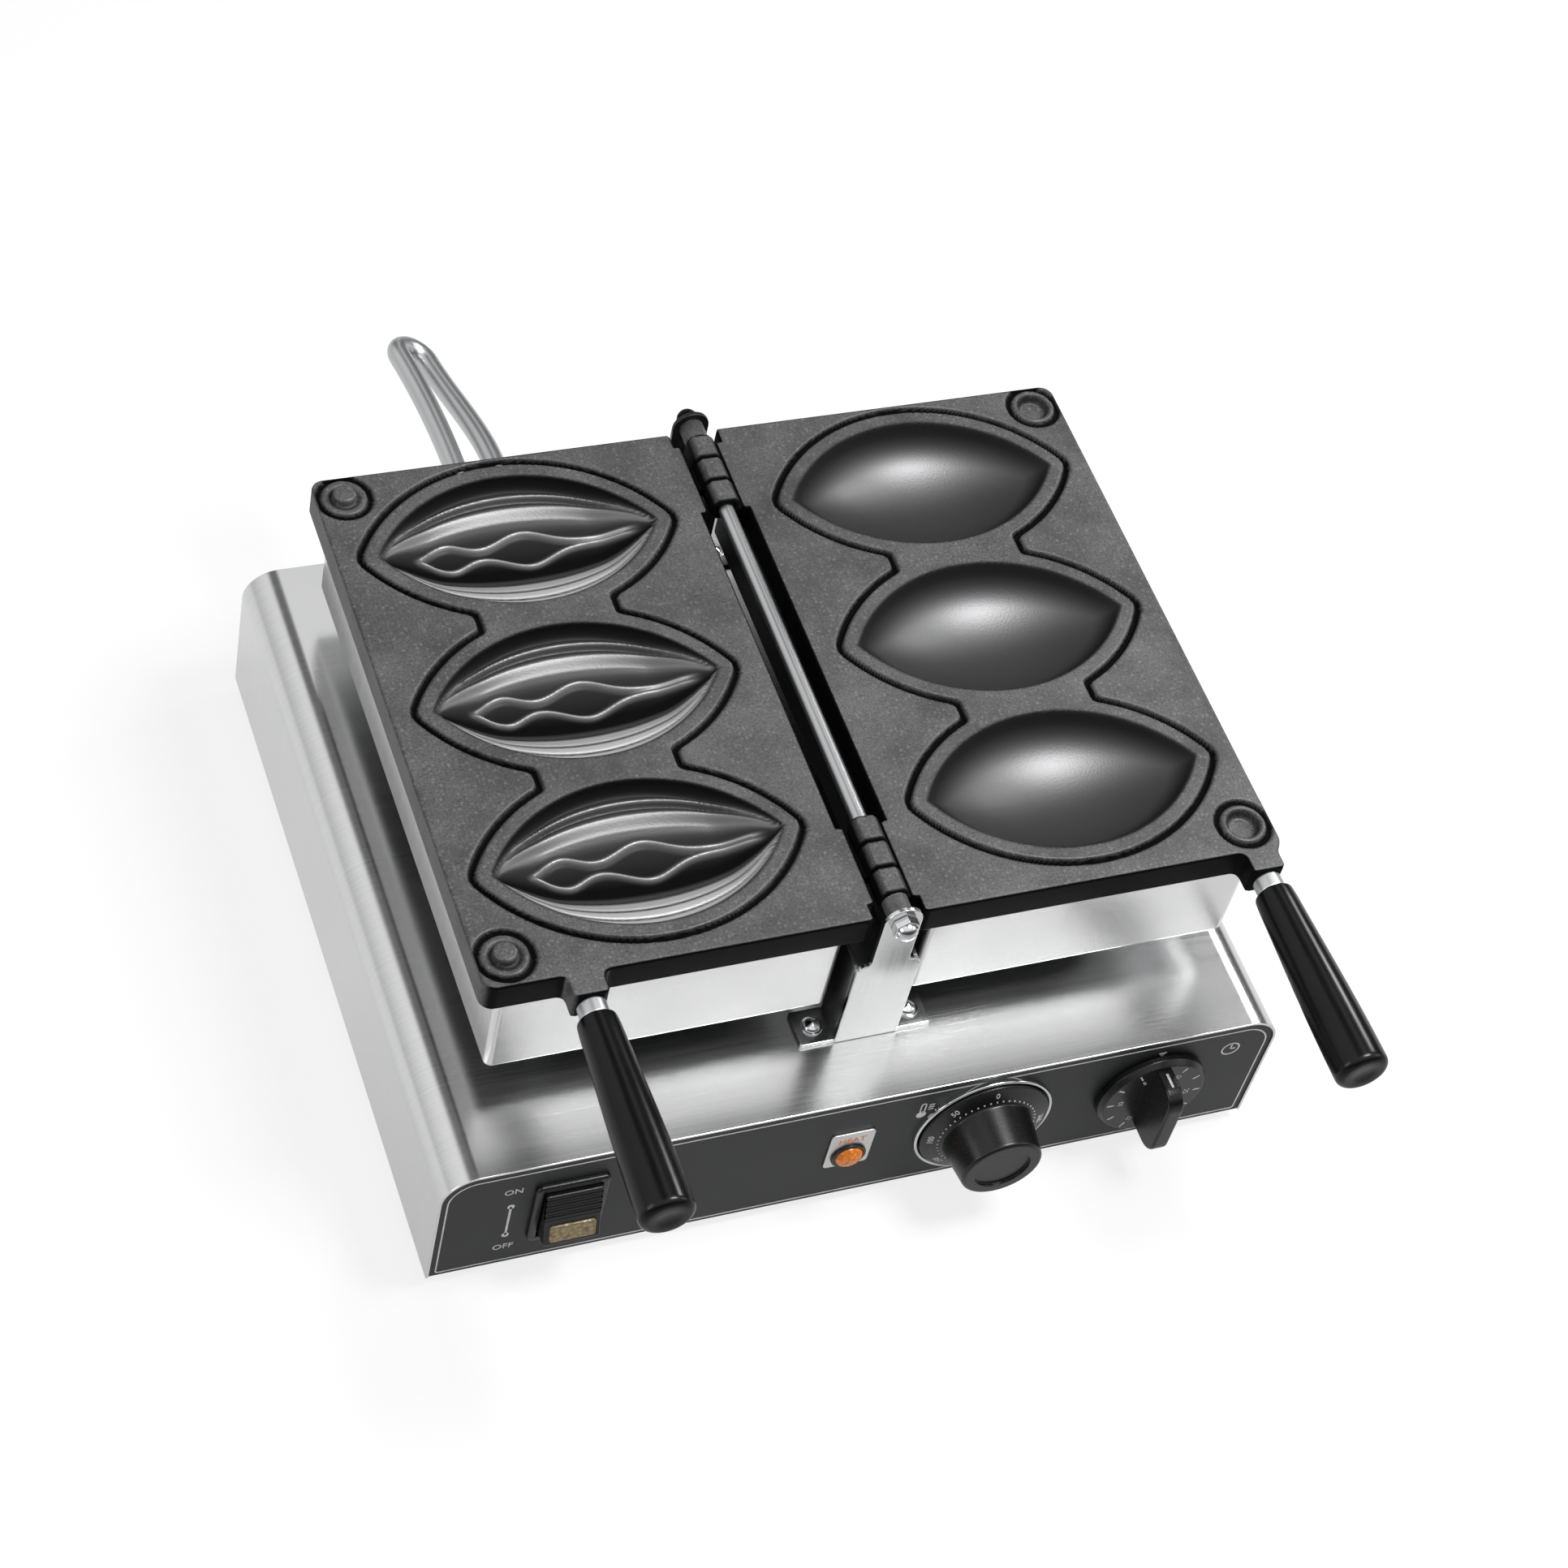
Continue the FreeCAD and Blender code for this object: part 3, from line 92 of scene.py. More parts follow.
world = bpy.data.worlds.new("studio_room")
bpy.context.scene.world = world
world.use_nodes = True
tree = world.node_tree
tree.nodes.clear()
direction = add(tree, "ShaderNodeTexCoord")
axes = add(tree, "ShaderNodeSeparateXYZ", {0: direction.outputs["Generated"]})
upper = add(tree, "ShaderNodeMapRange", {0: axes.outputs["Z"], 1: 0.0, 2: 0.9, 3: 0.6, 4: 1.1})
# Mirrors see a dark room behind the photographer and two black cards that draw the edges of the metal.
raised = add(tree, "ShaderNodeMath", {0: axes.outputs["Y"], 1: axes.outputs["Z"]}, operation="ADD")
front = add(tree, "ShaderNodeMapRange", {0: raised.outputs[0], 1: -0.45, 2: 0.1, 3: 0.1, 4: 1.0})
sideways = add(tree, "ShaderNodeMapRange", {0: axes.outputs["X"], 1: -1.0, 2: 1.0})
cards = add(tree, "ShaderNodeValToRGB", {0: sideways.outputs[0]})
card_stops = ((0.33, 1.0), (0.38, 0.15), (0.53, 0.15), (0.57, 1.0), (0.64, 1.0), (0.69, 0.2), (0.88, 0.1))
for position, shade in card_stops:
    stop = cards.color_ramp.elements.new(position)
    stop.color = (shade, shade, shade, 1)
cards.color_ramp.elements.remove(cards.color_ramp.elements[0])
cards.color_ramp.elements.remove(cards.color_ramp.elements[-1])
behind = add(tree, "ShaderNodeMapRange", {0: axes.outputs["Y"], 1: -0.1, 2: 0.2})
hung = add(tree, "ShaderNodeMix", {0: behind.outputs[0], 2: 1.0, 3: cards.outputs[0]}, data_type="FLOAT")
mirrored = add(tree, "ShaderNodeMath", {0: front.outputs[0], 1: hung.outputs[0]}, operation="MULTIPLY")
mirrored = add(tree, "ShaderNodeMath", {0: mirrored.outputs[0], 1: upper.outputs[0]}, operation="MULTIPLY")
plain = add(tree, "ShaderNodeMath", {0: upper.outputs[0], 1: 0.46}, operation="MULTIPLY")
ray = add(tree, "ShaderNodeLightPath")
walls = add(tree, "ShaderNodeMix", {0: ray.outputs["Is Glossy Ray"], 2: plain.outputs[0],
                                    3: mirrored.outputs[0]}, data_type="FLOAT")
walls = add(tree, "ShaderNodeMix", {0: ray.outputs["Is Camera Ray"], 2: walls.outputs[0], 3: 1.0},
            data_type="FLOAT")
room = add(tree, "ShaderNodeBackground", {"Color": linear("#ffffff"), "Strength": walls.outputs[0]})
add(tree, "ShaderNodeOutputWorld", {"Surface": room.outputs[0]})


def soft_box(name, place, target, width, depth, power):
    """Rectangular lamp at place that faces target."""
    lamp = bpy.data.lights.new(name, "AREA")
    lamp.shape = "RECTANGLE"
    lamp.size = width
    lamp.size_y = depth
    lamp.energy = power
    held = bpy.data.objects.new(name, lamp)
    bpy.context.collection.objects.link(held)
    back = np.array(place, float) - np.array(target, float)
    back /= np.linalg.norm(back)
    right = np.cross((0.0, 1.0, 0.0), back)
    right /= np.linalg.norm(right)
    up = np.cross(back, right)
    held.matrix_world = Matrix([(*row, offset) for row, offset in zip(np.stack((right, up, back), 1), place)]
                               + [(0, 0, 0, 1)])


soft_box("overhead_box", place=(0.62, -0.3, 1.8), target=(0.05, 0.0, 0.18), width=0.6, depth=0.6, power=32.0)
soft_box("left_box", place=(-1.9, -0.3, 0.9), target=(0.0, 0.0, 0.1), width=0.8, depth=1.2, power=9.0)
soft_box("strip_box", place=(1.3, 0.55, 1.1), target=(0.1, -0.22, 0.18), width=0.3, depth=0.3, power=6.0)
soft_box("right_box", place=(1.9, -0.6, 1.2), target=(0.0, 0.0, 0.1), width=0.7, depth=1.0, power=4.0)

camera = bpy.data.cameras.new("photographer")
camera.lens = 82.0
camera.sensor_width = 36.0
camera.clip_start = 0.05
stand = bpy.data.objects.new("photographer", camera)
bpy.context.collection.objects.link(stand)
bpy.context.scene.camera = stand
view_right = (0.9304, -0.3234, 0.1726)
view_down = (-0.1549, -0.7735, -0.6145)
view_ahead = (0.3322, 0.5450, -0.7698)
view_from = (-0.60623, -1.01313, 1.53770)
stand.matrix_world = Matrix([(right, -down, -ahead, place) for right, down, ahead, place
                             in zip(view_right, view_down, view_ahead, view_from)] + [(0, 0, 0, 1)])
bpy.context.scene.view_settings.view_transform = "Standard"

# Base housing: one polished stainless sheet bent over the top and both sides, with flanges below
# that the bottom plate is screwed to. The sheet's rolled grain runs from side to side.


def blank(name):
    """New material, given as itself, its node tree and its main shader."""
    material = bpy.data.materials.new(name)
    material.use_nodes = True
    return material, material.node_tree, material.node_tree.nodes["Principled BSDF"]


def grained(name, grain, dark, light, rough_low, rough_high):
    """Rolled, ground or plated metal: bright, with grain lines a few tenths of a mm wide and a faint haze.

    The grain is drawn about 0.8 mm wide so that it shows; grain gives the pattern's turns per metre.
    An attribute marks painted shade, which darkens a point towards near black and dulls it."""
    material, tree, shader = blank(name)
    shader.inputs["Metallic"].default_value = 1.0
    spot = add(tree, "ShaderNodeTexCoord")
    along = add(tree, "ShaderNodeMapping", {"Vector": spot.outputs["Object"], "Scale": grain})
    lines = add(tree, "ShaderNodeTexNoise", {"Vector": along.outputs[0], "Scale": 1.0, "Detail": 3.0,
                                             "Roughness": 0.6})
    smear = add(tree, "ShaderNodeTexNoise", {"Vector": spot.outputs["Object"], "Scale": 9.0, "Detail": 2.0})
    tone = add(tree, "ShaderNodeMix", {0: lines.outputs[0], 6: linear(dark), 7: linear(light)},
               data_type="RGBA")
    dull = add(tree, "ShaderNodeMapRange", {0: lines.outputs[0], 1: 0.3, 2: 0.7, 3: rough_low, 4: rough_high})
    haze = add(tree, "ShaderNodeMapRange", {0: smear.outputs[0], 1: 0.35, 2: 0.7, 3: 0.0, 4: 0.05})
    rough = add(tree, "ShaderNodeMath", {0: dull.outputs[0], 1: haze.outputs[0]}, operation="ADD")
    # Painted shade: an attribute darkens the tone to near black and raises the roughness.
    shade_mark = add(tree, "ShaderNodeAttribute", attribute_name="painted_shade")
    tone = add(tree, "ShaderNodeMix", {0: shade_mark.outputs["Fac"], 6: tone.outputs[2], 7: linear("#161616")},
               data_type="RGBA")
    rough = add(tree, "ShaderNodeMix", {0: shade_mark.outputs["Fac"], 2: rough.outputs[0], 3: 0.5},
                data_type="FLOAT")
    relief = add(tree, "ShaderNodeBump", {"Height": lines.outputs[0], "Strength": 0.025, "Distance": 0.0004})
    tree.links.new(tone.outputs[2], shader.inputs["Base Color"])
    tree.links.new(rough.outputs[0], shader.inputs["Roughness"])
    tree.links.new(relief.outputs[0], shader.inputs["Normal"])
    return material


def dress(material, *nodes):
    """Gives CAD nodes that keep their own shape a finish."""
    for node in nodes:
        cad[node].data.materials.clear()
        cad[node].data.materials.append(material)


def flat_normals(mesh, sharp):
    """Corner normals: each is the sum, by area, of its point's faces that turn under sharp degrees from it.

    Large flat faces so stay flat up to their small rounded rims."""
    corners = np.empty(len(mesh.loops), int)
    mesh.loops.foreach_get("vertex_index", corners)
    sizes = np.empty(len(mesh.polygons), int)
    mesh.polygons.foreach_get("loop_total", sizes)
    normals = np.empty(3 * len(sizes))
    mesh.polygons.foreach_get("normal", normals)
    areas = np.empty(len(sizes))
    mesh.polygons.foreach_get("area", areas)
    facing = np.repeat(normals.reshape(-1, 3), sizes, 0)
    weighted = facing * np.repeat(areas, sizes)[:, None]
    order = np.argsort(corners, kind="stable")
    firsts, counts = np.unique(corners[order], return_index=True, return_counts=True)[1:]
    blended = np.empty_like(facing)
    for count in np.unique(counts):
        group = order[firsts[counts == count][:, None] + np.arange(count)]
        alike = np.einsum("nik,njk->nij", facing[group], facing[group]) > math.cos(math.radians(sharp))
        blended[group] = np.einsum("nij,njk->nik", alike, weighted[group])
    mesh.normals_split_custom_set(blended / np.linalg.norm(blended, axis=1)[:, None])


def piece(name, parts, material, body, slot, *replaced, sharp=38.0, marks=None):
    """Joins parts, each (points in mm, arrays of faces), into one mesh in metres that rides on a body.

    marks holds values for the points, kept as an attribute of each name for the material to read."""
    counts = np.cumsum([0] + [len(points) for points, sets in parts])
    faces = [face for (points, sets), start in zip(parts, counts) for faces in sets
             for face in (np.asarray(faces) + start).tolist()]
    mesh = bpy.data.meshes.new(name)
    mesh.from_pydata(np.concatenate([points for points, sets in parts]) * 0.001, [], faces)
    for mark, values in (marks or {}).items():
        mesh.attributes.new(mark, "FLOAT", "POINT").data.foreach_set("value", np.asarray(values, np.float32))
    joined = bmesh.new()
    joined.from_mesh(mesh)
    bmesh.ops.remove_doubles(joined, verts=joined.verts, dist=1e-6)
    bmesh.ops.recalc_face_normals(joined, faces=joined.faces)
    joined.to_mesh(mesh)
    joined.free()
    mesh.shade_smooth()
    flat_normals(mesh, sharp)
    mesh.materials.append(material)
    made = bpy.data.objects.new(name, mesh)
    bpy.context.collection.objects.link(made)
    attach(made, body)
    if replaced:
        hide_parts(*replaced)


def rounded(corners, radii, steps, closed=True):
    """Outline through corners, each turned into an arc of its radius that touches both its sides.

    An open outline keeps its two ends as they are."""
    corners = np.array(corners, float)
    radii = np.broadcast_to(np.array(radii, float), len(corners))
    runs = []
    for before, corner, after, radius in zip(np.roll(corners, 1, 0), corners, np.roll(corners, -1, 0), radii):
        a = (before - corner) / np.linalg.norm(before - corner)
        b = (after - corner) / np.linalg.norm(after - corner)
        half = math.acos(np.clip(a @ b, -1, 1)) / 2
        middle = corner + (a + b) / np.linalg.norm(a + b) * radius / math.sin(half)
        start = corner + a * radius / math.tan(half) - middle
        end = corner + b * radius / math.tan(half) - middle
        turn = math.atan2(start[0] * end[1] - start[1] * end[0], start @ end)
        angle = math.atan2(start[1], start[0]) + turn * np.linspace(0, 1, steps)
        runs.append(middle + radius * np.stack((np.cos(angle), np.sin(angle)), 1))
    if not closed:
        runs[0], runs[-1] = corners[:1], corners[-1:]
    return np.concatenate(runs)


def net(points):
    """Quads between the neighbours of a grid of points, whose second direction closes on itself."""
    rows, columns = points.shape[:2]
    i = np.arange(rows - 1)[:, None]
    j = np.arange(columns)[None, :]
    k = (j + 1) % columns
    quads = np.stack(np.broadcast_arrays(i * columns + j, i * columns + k, (i + 1) * columns + k,
                                         (i + 1) * columns + j), -1)
    return points.reshape(-1, 3), [quads.reshape(-1, 4)]


def shell(outline, profile, axis="z", capped=True):
    """Form on a closed outline: ring i is the outline moved in by profile[i, 0], at level profile[i, 1].

    The outline is in (x, y), (y, z) or (z, x) for the axis z, x or y. Each corner moves along its mitre,
    the sum of its two sides' normals over one plus their product. The end rings are capped."""
    outline = np.asarray(outline, float)
    profile = np.asarray(profile, float)
    x, y = outline.T
    if x @ np.roll(y, -1) - y @ np.roll(x, -1) < 0:
        outline = outline[::-1]
    run = np.roll(outline, -1, 0) - outline
    run /= np.linalg.norm(run, axis=1)[:, None]
    normal = np.stack((run[:, 1], -run[:, 0]), 1)
    other = np.roll(normal, 1, 0)
    mitre = (normal + other) / (1 + (normal * other).sum(1))[:, None]
    rings = np.empty((len(profile), len(outline), 3))
    rings[..., :2] = outline - profile[:, None, :1] * mitre
    rings[..., 2] = profile[:, 1:]
    points, faces = net(np.roll(rings, {"z": 0, "x": 1, "y": 2}[axis], -1))
    ends = np.arange(len(outline))[None]
    return points, faces + [ends[:, ::-1], ends + (len(profile) - 1) * len(outline)] * capped


def rim(low, high, edge, steps):
    """Profile of a plate from low to high whose two rims are quarter circles of radius edge."""
    angle = np.linspace(0, math.pi / 2, steps)
    lower = np.stack((edge * (1 - np.sin(angle)), low + edge * (1 - np.cos(angle))), 1)
    return np.concatenate((lower, lower[::-1] * (1, -1) + (0, low + high)))


def oblong(us, vs):
    """Corners of a rectangle over two ranges."""
    return np.array([(us[0], vs[0]), (us[1], vs[0]), (us[1], vs[1]), (us[0], vs[1])])


base_half = 225.0
base_front, base_back = -188.25, 201.75
base_low, deck = 8.0, 94.0
bend, sheet = 19.0, 1.5
flange, flange_inset = 14.0, 3.2
steel_sheet = grained("polished_stainless_sheet", (6.0, 1250.0, 6.0), "#cccdcd", "#e0e0e0", 0.18, 0.23)
outer = rounded([(-base_half, base_low), (-base_half, deck), (base_half, deck), (base_half, base_low)],
                bend, 15, closed=False)
inner_half = base_half - sheet
inner = rounded([(-inner_half, base_low), (-inner_half, deck - sheet), (inner_half, deck - sheet),
                 (inner_half, base_low)], bend - sheet, 15, closed=False)
housing = [shell(np.concatenate((outer, inner[::-1]))[:, ::-1], rim(base_front, base_back, 0.35, 3), "y")]
for side in (-1, 1):
    strip = oblong((side * (inner_half - flange), side * inner_half),
                   (base_front + flange_inset, base_back - flange_inset))
    housing.append(shell(rounded(strip, 1.0, 3), rim(base_low, base_low + sheet, 0.3, 3)))
piece("housing_sheet", housing, steel_sheet, "base", "stainless_sheet", "housing_shell")

# Front panel: a flat sheet under a graphite polyester film, whose fine matt grain softens what it
# mirrors. A light border line, the switch's ON and OFF and small pictograms are printed on it.


def lathe(profile, origin, axis, steps=56):
    """Turned form: each profile point (radius, distance along the axis) is swept round the axis."""
    profile = np.asarray(profile, float)
    axis = np.array(axis, float)
    side = np.array((1.0, 0.0, 0.0))
    turn = np.linspace(0, 2 * math.pi, steps, endpoint=False)[:, None]
    around = np.cos(turn) * side + np.sin(turn) * np.cross(axis, side)
    points = np.array(origin, float) + profile[:, None, :1] * around + profile[:, None, 1:] * axis
    return net(points)


def lettering(text, size, place, right, up):
    """Generic letters or figures of a height in mm as thin solids, centred on place."""
    curve = bpy.data.curves.new("letters", "FONT")
    curve.body = text
    curve.size = size
    curve.align_x = "CENTER"
    curve.align_y = "CENTER"
    curve.extrude = 0.08
    curve.resolution_u = 4
    held = bpy.data.objects.new("letters", curve)
    bpy.context.collection.objects.link(held)
    flat = bpy.data.meshes.new_from_object(held)
    flat.calc_loop_triangles()
    local = np.empty(3 * len(flat.vertices))
    flat.vertices.foreach_get("co", local)
    triangles = np.empty(3 * len(flat.loop_triangles), int)
    flat.loop_triangles.foreach_get("vertices", triangles)
    bpy.data.objects.remove(held)
    bpy.data.meshes.remove(flat)
    right, up = np.array(right, float), np.array(up, float)
    axes = np.stack((right, up, np.cross(right, up)))
    return np.array(place, float) + local.reshape(-1, 3) @ axes, [triangles.reshape(-1, 3)]


film, tree, shader = blank("graphite_polyester_film")
spot = add(tree, "ShaderNodeTexCoord")
cloud = add(tree, "ShaderNodeTexNoise", {"Vector": spot.outputs["Object"], "Scale": 14.0, "Detail": 3.0})
# The film's grain is about 0.1 mm; it is drawn at 0.5 mm so that it shows.
grit = add(tree, "ShaderNodeTexNoise", {"Vector": spot.outputs["Object"], "Scale": 2000.0, "Detail": 1.0})
tone = add(tree, "ShaderNodeMix", {0: cloud.outputs[0], 6: linear("#1d1e1f"), 7: linear("#282929")},
           data_type="RGBA")
dull = add(tree, "ShaderNodeMapRange", {0: grit.outputs[0], 1: 0.3, 2: 0.7, 3: 0.36, 4: 0.48})
relief = add(tree, "ShaderNodeBump", {"Height": grit.outputs[0], "Strength": 0.12, "Distance": 0.0002})
tree.links.new(tone.outputs[2], shader.inputs["Base Color"])
tree.links.new(dull.outputs[0], shader.inputs["Roughness"])
tree.links.new(relief.outputs[0], shader.inputs["Normal"])
shader.inputs["Specular IOR Level"].default_value = 0.25
dress(film, "front_panel")


def mottled(name, texture, dark, light, fixed, rough=None, bump=None, stretch=(1.0, 1.0, 1.0)):
    """Material with one fine pattern that blends two tones, and may also set the roughness and the relief.

    texture is the pattern's kind and settings, with its scale in turns per metre, drawn out by stretch.
    rough is the roughness where the pattern is low and where it is high, bump is the relief's strength
    and its depth in metres, and fixed holds the shader's plain values."""
    material, tree, shader = blank(name)
    spot = add(tree, "ShaderNodeTexCoord")
    spread = add(tree, "ShaderNodeMapping", {"Vector": spot.outputs["Object"], "Scale": stretch})
    kind, settings = texture
    pattern = add(tree, kind, {"Vector": spread.outputs[0], **settings}).outputs[0]
    tone = add(tree, "ShaderNodeMix", {0: pattern, 6: linear(dark), 7: linear(light)}, data_type="RGBA")
    tree.links.new(tone.outputs[2], shader.inputs["Base Color"])
    if rough:
        dull = add(tree, "ShaderNodeMapRange", {0: pattern, 1: 0.3, 2: 0.7, 3: rough[0], 4: rough[1]})
        tree.links.new(dull.outputs[0], shader.inputs["Roughness"])
    if bump:
        relief = add(tree, "ShaderNodeBump", {"Height": pattern, "Strength": bump[0], "Distance": bump[1]})
        tree.links.new(relief.outputs[0], shader.inputs["Normal"])
    for socket, value in fixed.items():
        shader.inputs[socket].default_value = value
    return material


# Screen ink is matt and a little uneven over a few millimetres.
ink = mottled("screen_printed_ink", ("ShaderNodeTexNoise", {"Scale": 260.0, "Detail": 2.0}),
              "#a8a8a6", "#cfcfcd", {"Roughness": 0.5})
panel = -187.45
ink_sunk, ink_proud = 0.05, 0.12
ink_low, ink_high = panel - ink_proud, panel + ink_sunk
across, upward, forward = (1, 0, 0), (0, 0, 1), (0, -1, 0)


def printed(outline):
    """Printed patch inside a closed outline in (z, x)."""
    return shell(outline, [(0, ink_high), (0, ink_low)], "y")


def drawn(outline, width):
    """Printed line of a width, along the inside of a closed outline in (z, x)."""
    profile = [(0, ink_high), (0, ink_low), (width, ink_low), (width, ink_high), (0, ink_high)]
    return shell(outline, profile, "y", capped=False)


def dot(radius, x, z):
    """Printed round dot."""
    return lathe(oblong((0, radius), (-ink_sunk, ink_proud)), (x, panel, z), forward, 20)


border_z, border_half = (10.0, 88.2), 220.6
prints = [drawn(rounded(oblong(border_z, (-border_half, border_half)), (2.0, 15.0, 15.0, 2.0), 11), 0.8)]
mark_x, mark_y, mark_size = -187.0, panel - 0.06, 6.2
on_z, off_z, stroke_z, stroke_half = 73.5, 23.0, (34.0, 60.0), 0.6
prints.append(lettering("ON", mark_size, (mark_x, mark_y, on_z), across, upward))
prints.append(lettering("OFF", mark_size, (mark_x, mark_y, off_z), across, upward))
prints.append(printed(rounded(oblong(stroke_z, (mark_x - stroke_half, mark_x + stroke_half)), 0.2, 3)))
prints += [dot(1.9, mark_x, z) for z in stroke_z]
timer_x, pointer_z, pointer_half = 159.0, (78.2, 82.2), 2.4
pointer = [(pointer_z[0], timer_x), (pointer_z[1], timer_x - pointer_half),
           (pointer_z[1], timer_x + pointer_half)]
prints.append(printed(rounded(pointer, 0.2, 3)))
# A thermometer beside the temperature dial and a clock beside the timer, as plain outlines.
gauge_x, gauge_z, stem_half, line_width = 27.0, 73.0, 1.6, 0.7
stem = oblong((gauge_z - 2, gauge_z + 6), (gauge_x - stem_half, gauge_x + stem_half))
prints.append(drawn(rounded(stem, 1.5, 5), line_width))
prints.append(dot(2.7, gauge_x, gauge_z - 4))
for tick_z in (gauge_z - 0.5, gauge_z + 1.5, gauge_z + 3.5):
    prints.append(printed(oblong((tick_z, tick_z + line_width), (gauge_x + 3, gauge_x + 6))))
clock_x, clock_z, clock_outer, clock_inner = 200.5, 72.5, 5.2, 4.4
clock_ring = [(clock_outer, -ink_sunk), (clock_outer, ink_proud), (clock_inner, ink_proud),
              (clock_inner, -ink_sunk), (clock_outer, -ink_sunk)]
prints.append(lathe(clock_ring, (clock_x, panel, clock_z), forward, 36))
for hand in (oblong((0, 3.6), (-0.4, 0.4)), oblong((-0.4, 0.4), (0, 2.7))):
    prints.append(printed(hand + (clock_z, clock_x)))
piece("panel_print", prints, ink, "base", "label_plate")

# Rear panel and bottom plate: plain stainless sheets that close the housing, with vents at the back.
# Pan-head screws with nuts hold them, and the mains gland passes the rear one.
plain_sheet = grained("plain_stainless_sheet", (5.0, 5.0, 900.0), "#a3a4a6", "#bdbebf", 0.24, 0.34)
dress(plain_sheet, "rear_panel", "bottom_plate")
screw_steel = grained("zinc_plated_steel", (260.0, 260.0, 260.0), "#a4a5a3", "#c4c5c2", 0.22, 0.34)
dress(screw_steel, "foot_screws", "bottom_plate_screws", "rear_panel_screws", "rest_post_screws",
      "earth_screw", "control_nuts", "left_box_studs", "right_box_studs",
      "left_element_clamps", "right_element_clamps")

# Feet: four moulded rubber cones under the bottom plate, hollowed below for the heads of their screws.
# Matt black rubber, with a bloom that makes it a little uneven.
rubber = mottled("moulded_black_rubber", ("ShaderNodeTexNoise", {"Scale": 120.0, "Detail": 4.0}),
                 "#161616", "#2a2a2a", {}, rough=(0.65, 0.85), bump=(0.1, 0.0004))
foot = rounded([(0, 5.0), (5.5, 5.0), (5.5, 0.0), (11.0, 0.0), (13.0, 9.5), (0, 9.5)],
               (0, 0.3, 0.6, 1.4, 1.0, 0), 6, closed=False)
foot_places = [(x, y, 0.0) for x in (-183.0, 183.0) for y in (-146.25, 159.75)]
piece("feet", [lathe(foot, place, upward) for place in foot_places], rubber, "base", "rubber", "rubber_feet")
dress(rubber, "base_lead_bushings", "left_lead_bushing", "right_lead_bushing", "mains_entry_gland")

# Pedestals: two brackets bent from stainless sheet, each with a round-topped tongue that holds the
# hinge shaft, side flanges and two tabs. A domed screw through each tab fixes them to the deck. Painted
# shade darkens their inner sides, towards the plates, and the rear one's top.


def ease(low, high, value):
    """Smooth step from 0 below low to 1 above high."""
    t = np.clip((value - low) / (high - low), 0, 1)
    return t * t * (3 - 2 * t)


hinge_x, hinge_z = 4.5, 191.3
bracket_steel = grained("brushed_stainless_bracket", (700.0, 8.0, 8.0), "#d9dada", "#dfe0e0", 0.13, 0.17)
bracket_half, tongue_half = 16.85, 10.0
shoulder, flange_top = deck + 64.0, deck + 61.0
bracket_sheet, bracket_depth, bracket_edge, tab = 2.5, 21.0, 0.5, 18.0
bracket_front, bracket_back = -151.95, 179.95
face = rounded([(deck, -bracket_half), (shoulder, -bracket_half), (shoulder, -tongue_half),
                (hinge_z + tongue_half, -tongue_half), (hinge_z + tongue_half, tongue_half),
                (shoulder, tongue_half), (shoulder, bracket_half), (deck, bracket_half)],
               (0.2, 4.5, 2.2, 9.95, 9.95, 2.2, 4.5, 0.2), 9) + (0, hinge_x)
screw_head = rounded([(0, 0), (5.6, 0), (5.6, 0.9), (4.3, 0.9), (4.2, 2.2), (0, 4.4)],
                     (0, 0.2, 0.3, 0.3, 1.4, 0), 6, closed=False)
screws = []
for name, start, inward in (("front_pedestal", bracket_front, 1), ("rear_pedestal", bracket_back, -1)):
    levels = sorted((start, start + inward * bracket_sheet))
    depths = sorted((start + inward * 0.6, start + inward * bracket_depth))
    parts = [shell(face, rim(*levels, bracket_edge, 4), "y")]
    for side in (-1, 1):
        wall = sorted((hinge_x + side * bracket_half, hinge_x + side * (bracket_half - bracket_sheet)))
        flank = rounded(oblong(depths, (deck, flange_top)), (0.2, 0.2, 5.0, 5.0), 6)
        parts.append(shell(flank, rim(*wall, bracket_edge, 4), "x"))
        reach = sorted((hinge_x + side * (bracket_half - 1.0), hinge_x + side * (bracket_half + tab)))
        parts.append(shell(rounded(oblong(reach, depths), 1.2, 5), rim(deck, deck + bracket_sheet, 0.4, 3)))
        middle = (hinge_x + side * (bracket_half + tab / 2), start + inward * bracket_depth / 2,
                  deck + bracket_sheet)
        screws.append(lathe(screw_head, middle, upward, 40))
    depth = inward * (np.concatenate([points[:, 1] for points, faces in parts]) - start)
    height = np.concatenate([points[:, 2] for points, faces in parts])
    # Painted shade on the inner sides, towards the plates, and on the rear bracket's top.
    inner_shade = 0.85 * ease(bracket_sheet - 0.5, bracket_sheet + 0.5, depth)
    top_shade = (inward < 0) * 0.95 * ease(shoulder, hinge_z, height)
    piece(name + "_bracket", parts, bracket_steel, "base", "stainless_sheet", name,
          marks={"painted_shade": np.maximum(inner_shade, top_shade)})
bright = grained("polished_steel", (40.0, 8.0, 40.0), "#c3c4c6", "#dfe0e1", 0.07, 0.13)
piece("pedestal_screw_heads", screws, bright, "base", "polished_steel", "pedestal_screws")

# Rest posts: turned steel studs on the deck, each with a grey silicone pad that the open plates' heater
# boxes come to rest on. They are screwed from inside the housing.
silicone = mottled("grey_silicone", ("ShaderNodeTexNoise", {"Scale": 200.0, "Detail": 2.0}),
                   "#4d4e50", "#626365", {"Roughness": 0.55})
dress(silicone, "rest_pads")
dress(plain_sheet, "rest_posts")

# Hinge: a ground steel shaft through the pedestals and the plates' knuckles, with a domed nut on each
# end, the rear one darkened with painted shade. The knuckles are cast with the plates and carry the same
# non-stick coating.
nonstick, tree, shader = blank("speckled_nonstick_on_cast_aluminium")
spot = add(tree, "ShaderNodeTexCoord")
cloud = add(tree, "ShaderNodeTexNoise", {"Vector": spot.outputs["Object"], "Scale": 30.0, "Detail": 6.0,
                                         "Roughness": 0.62})
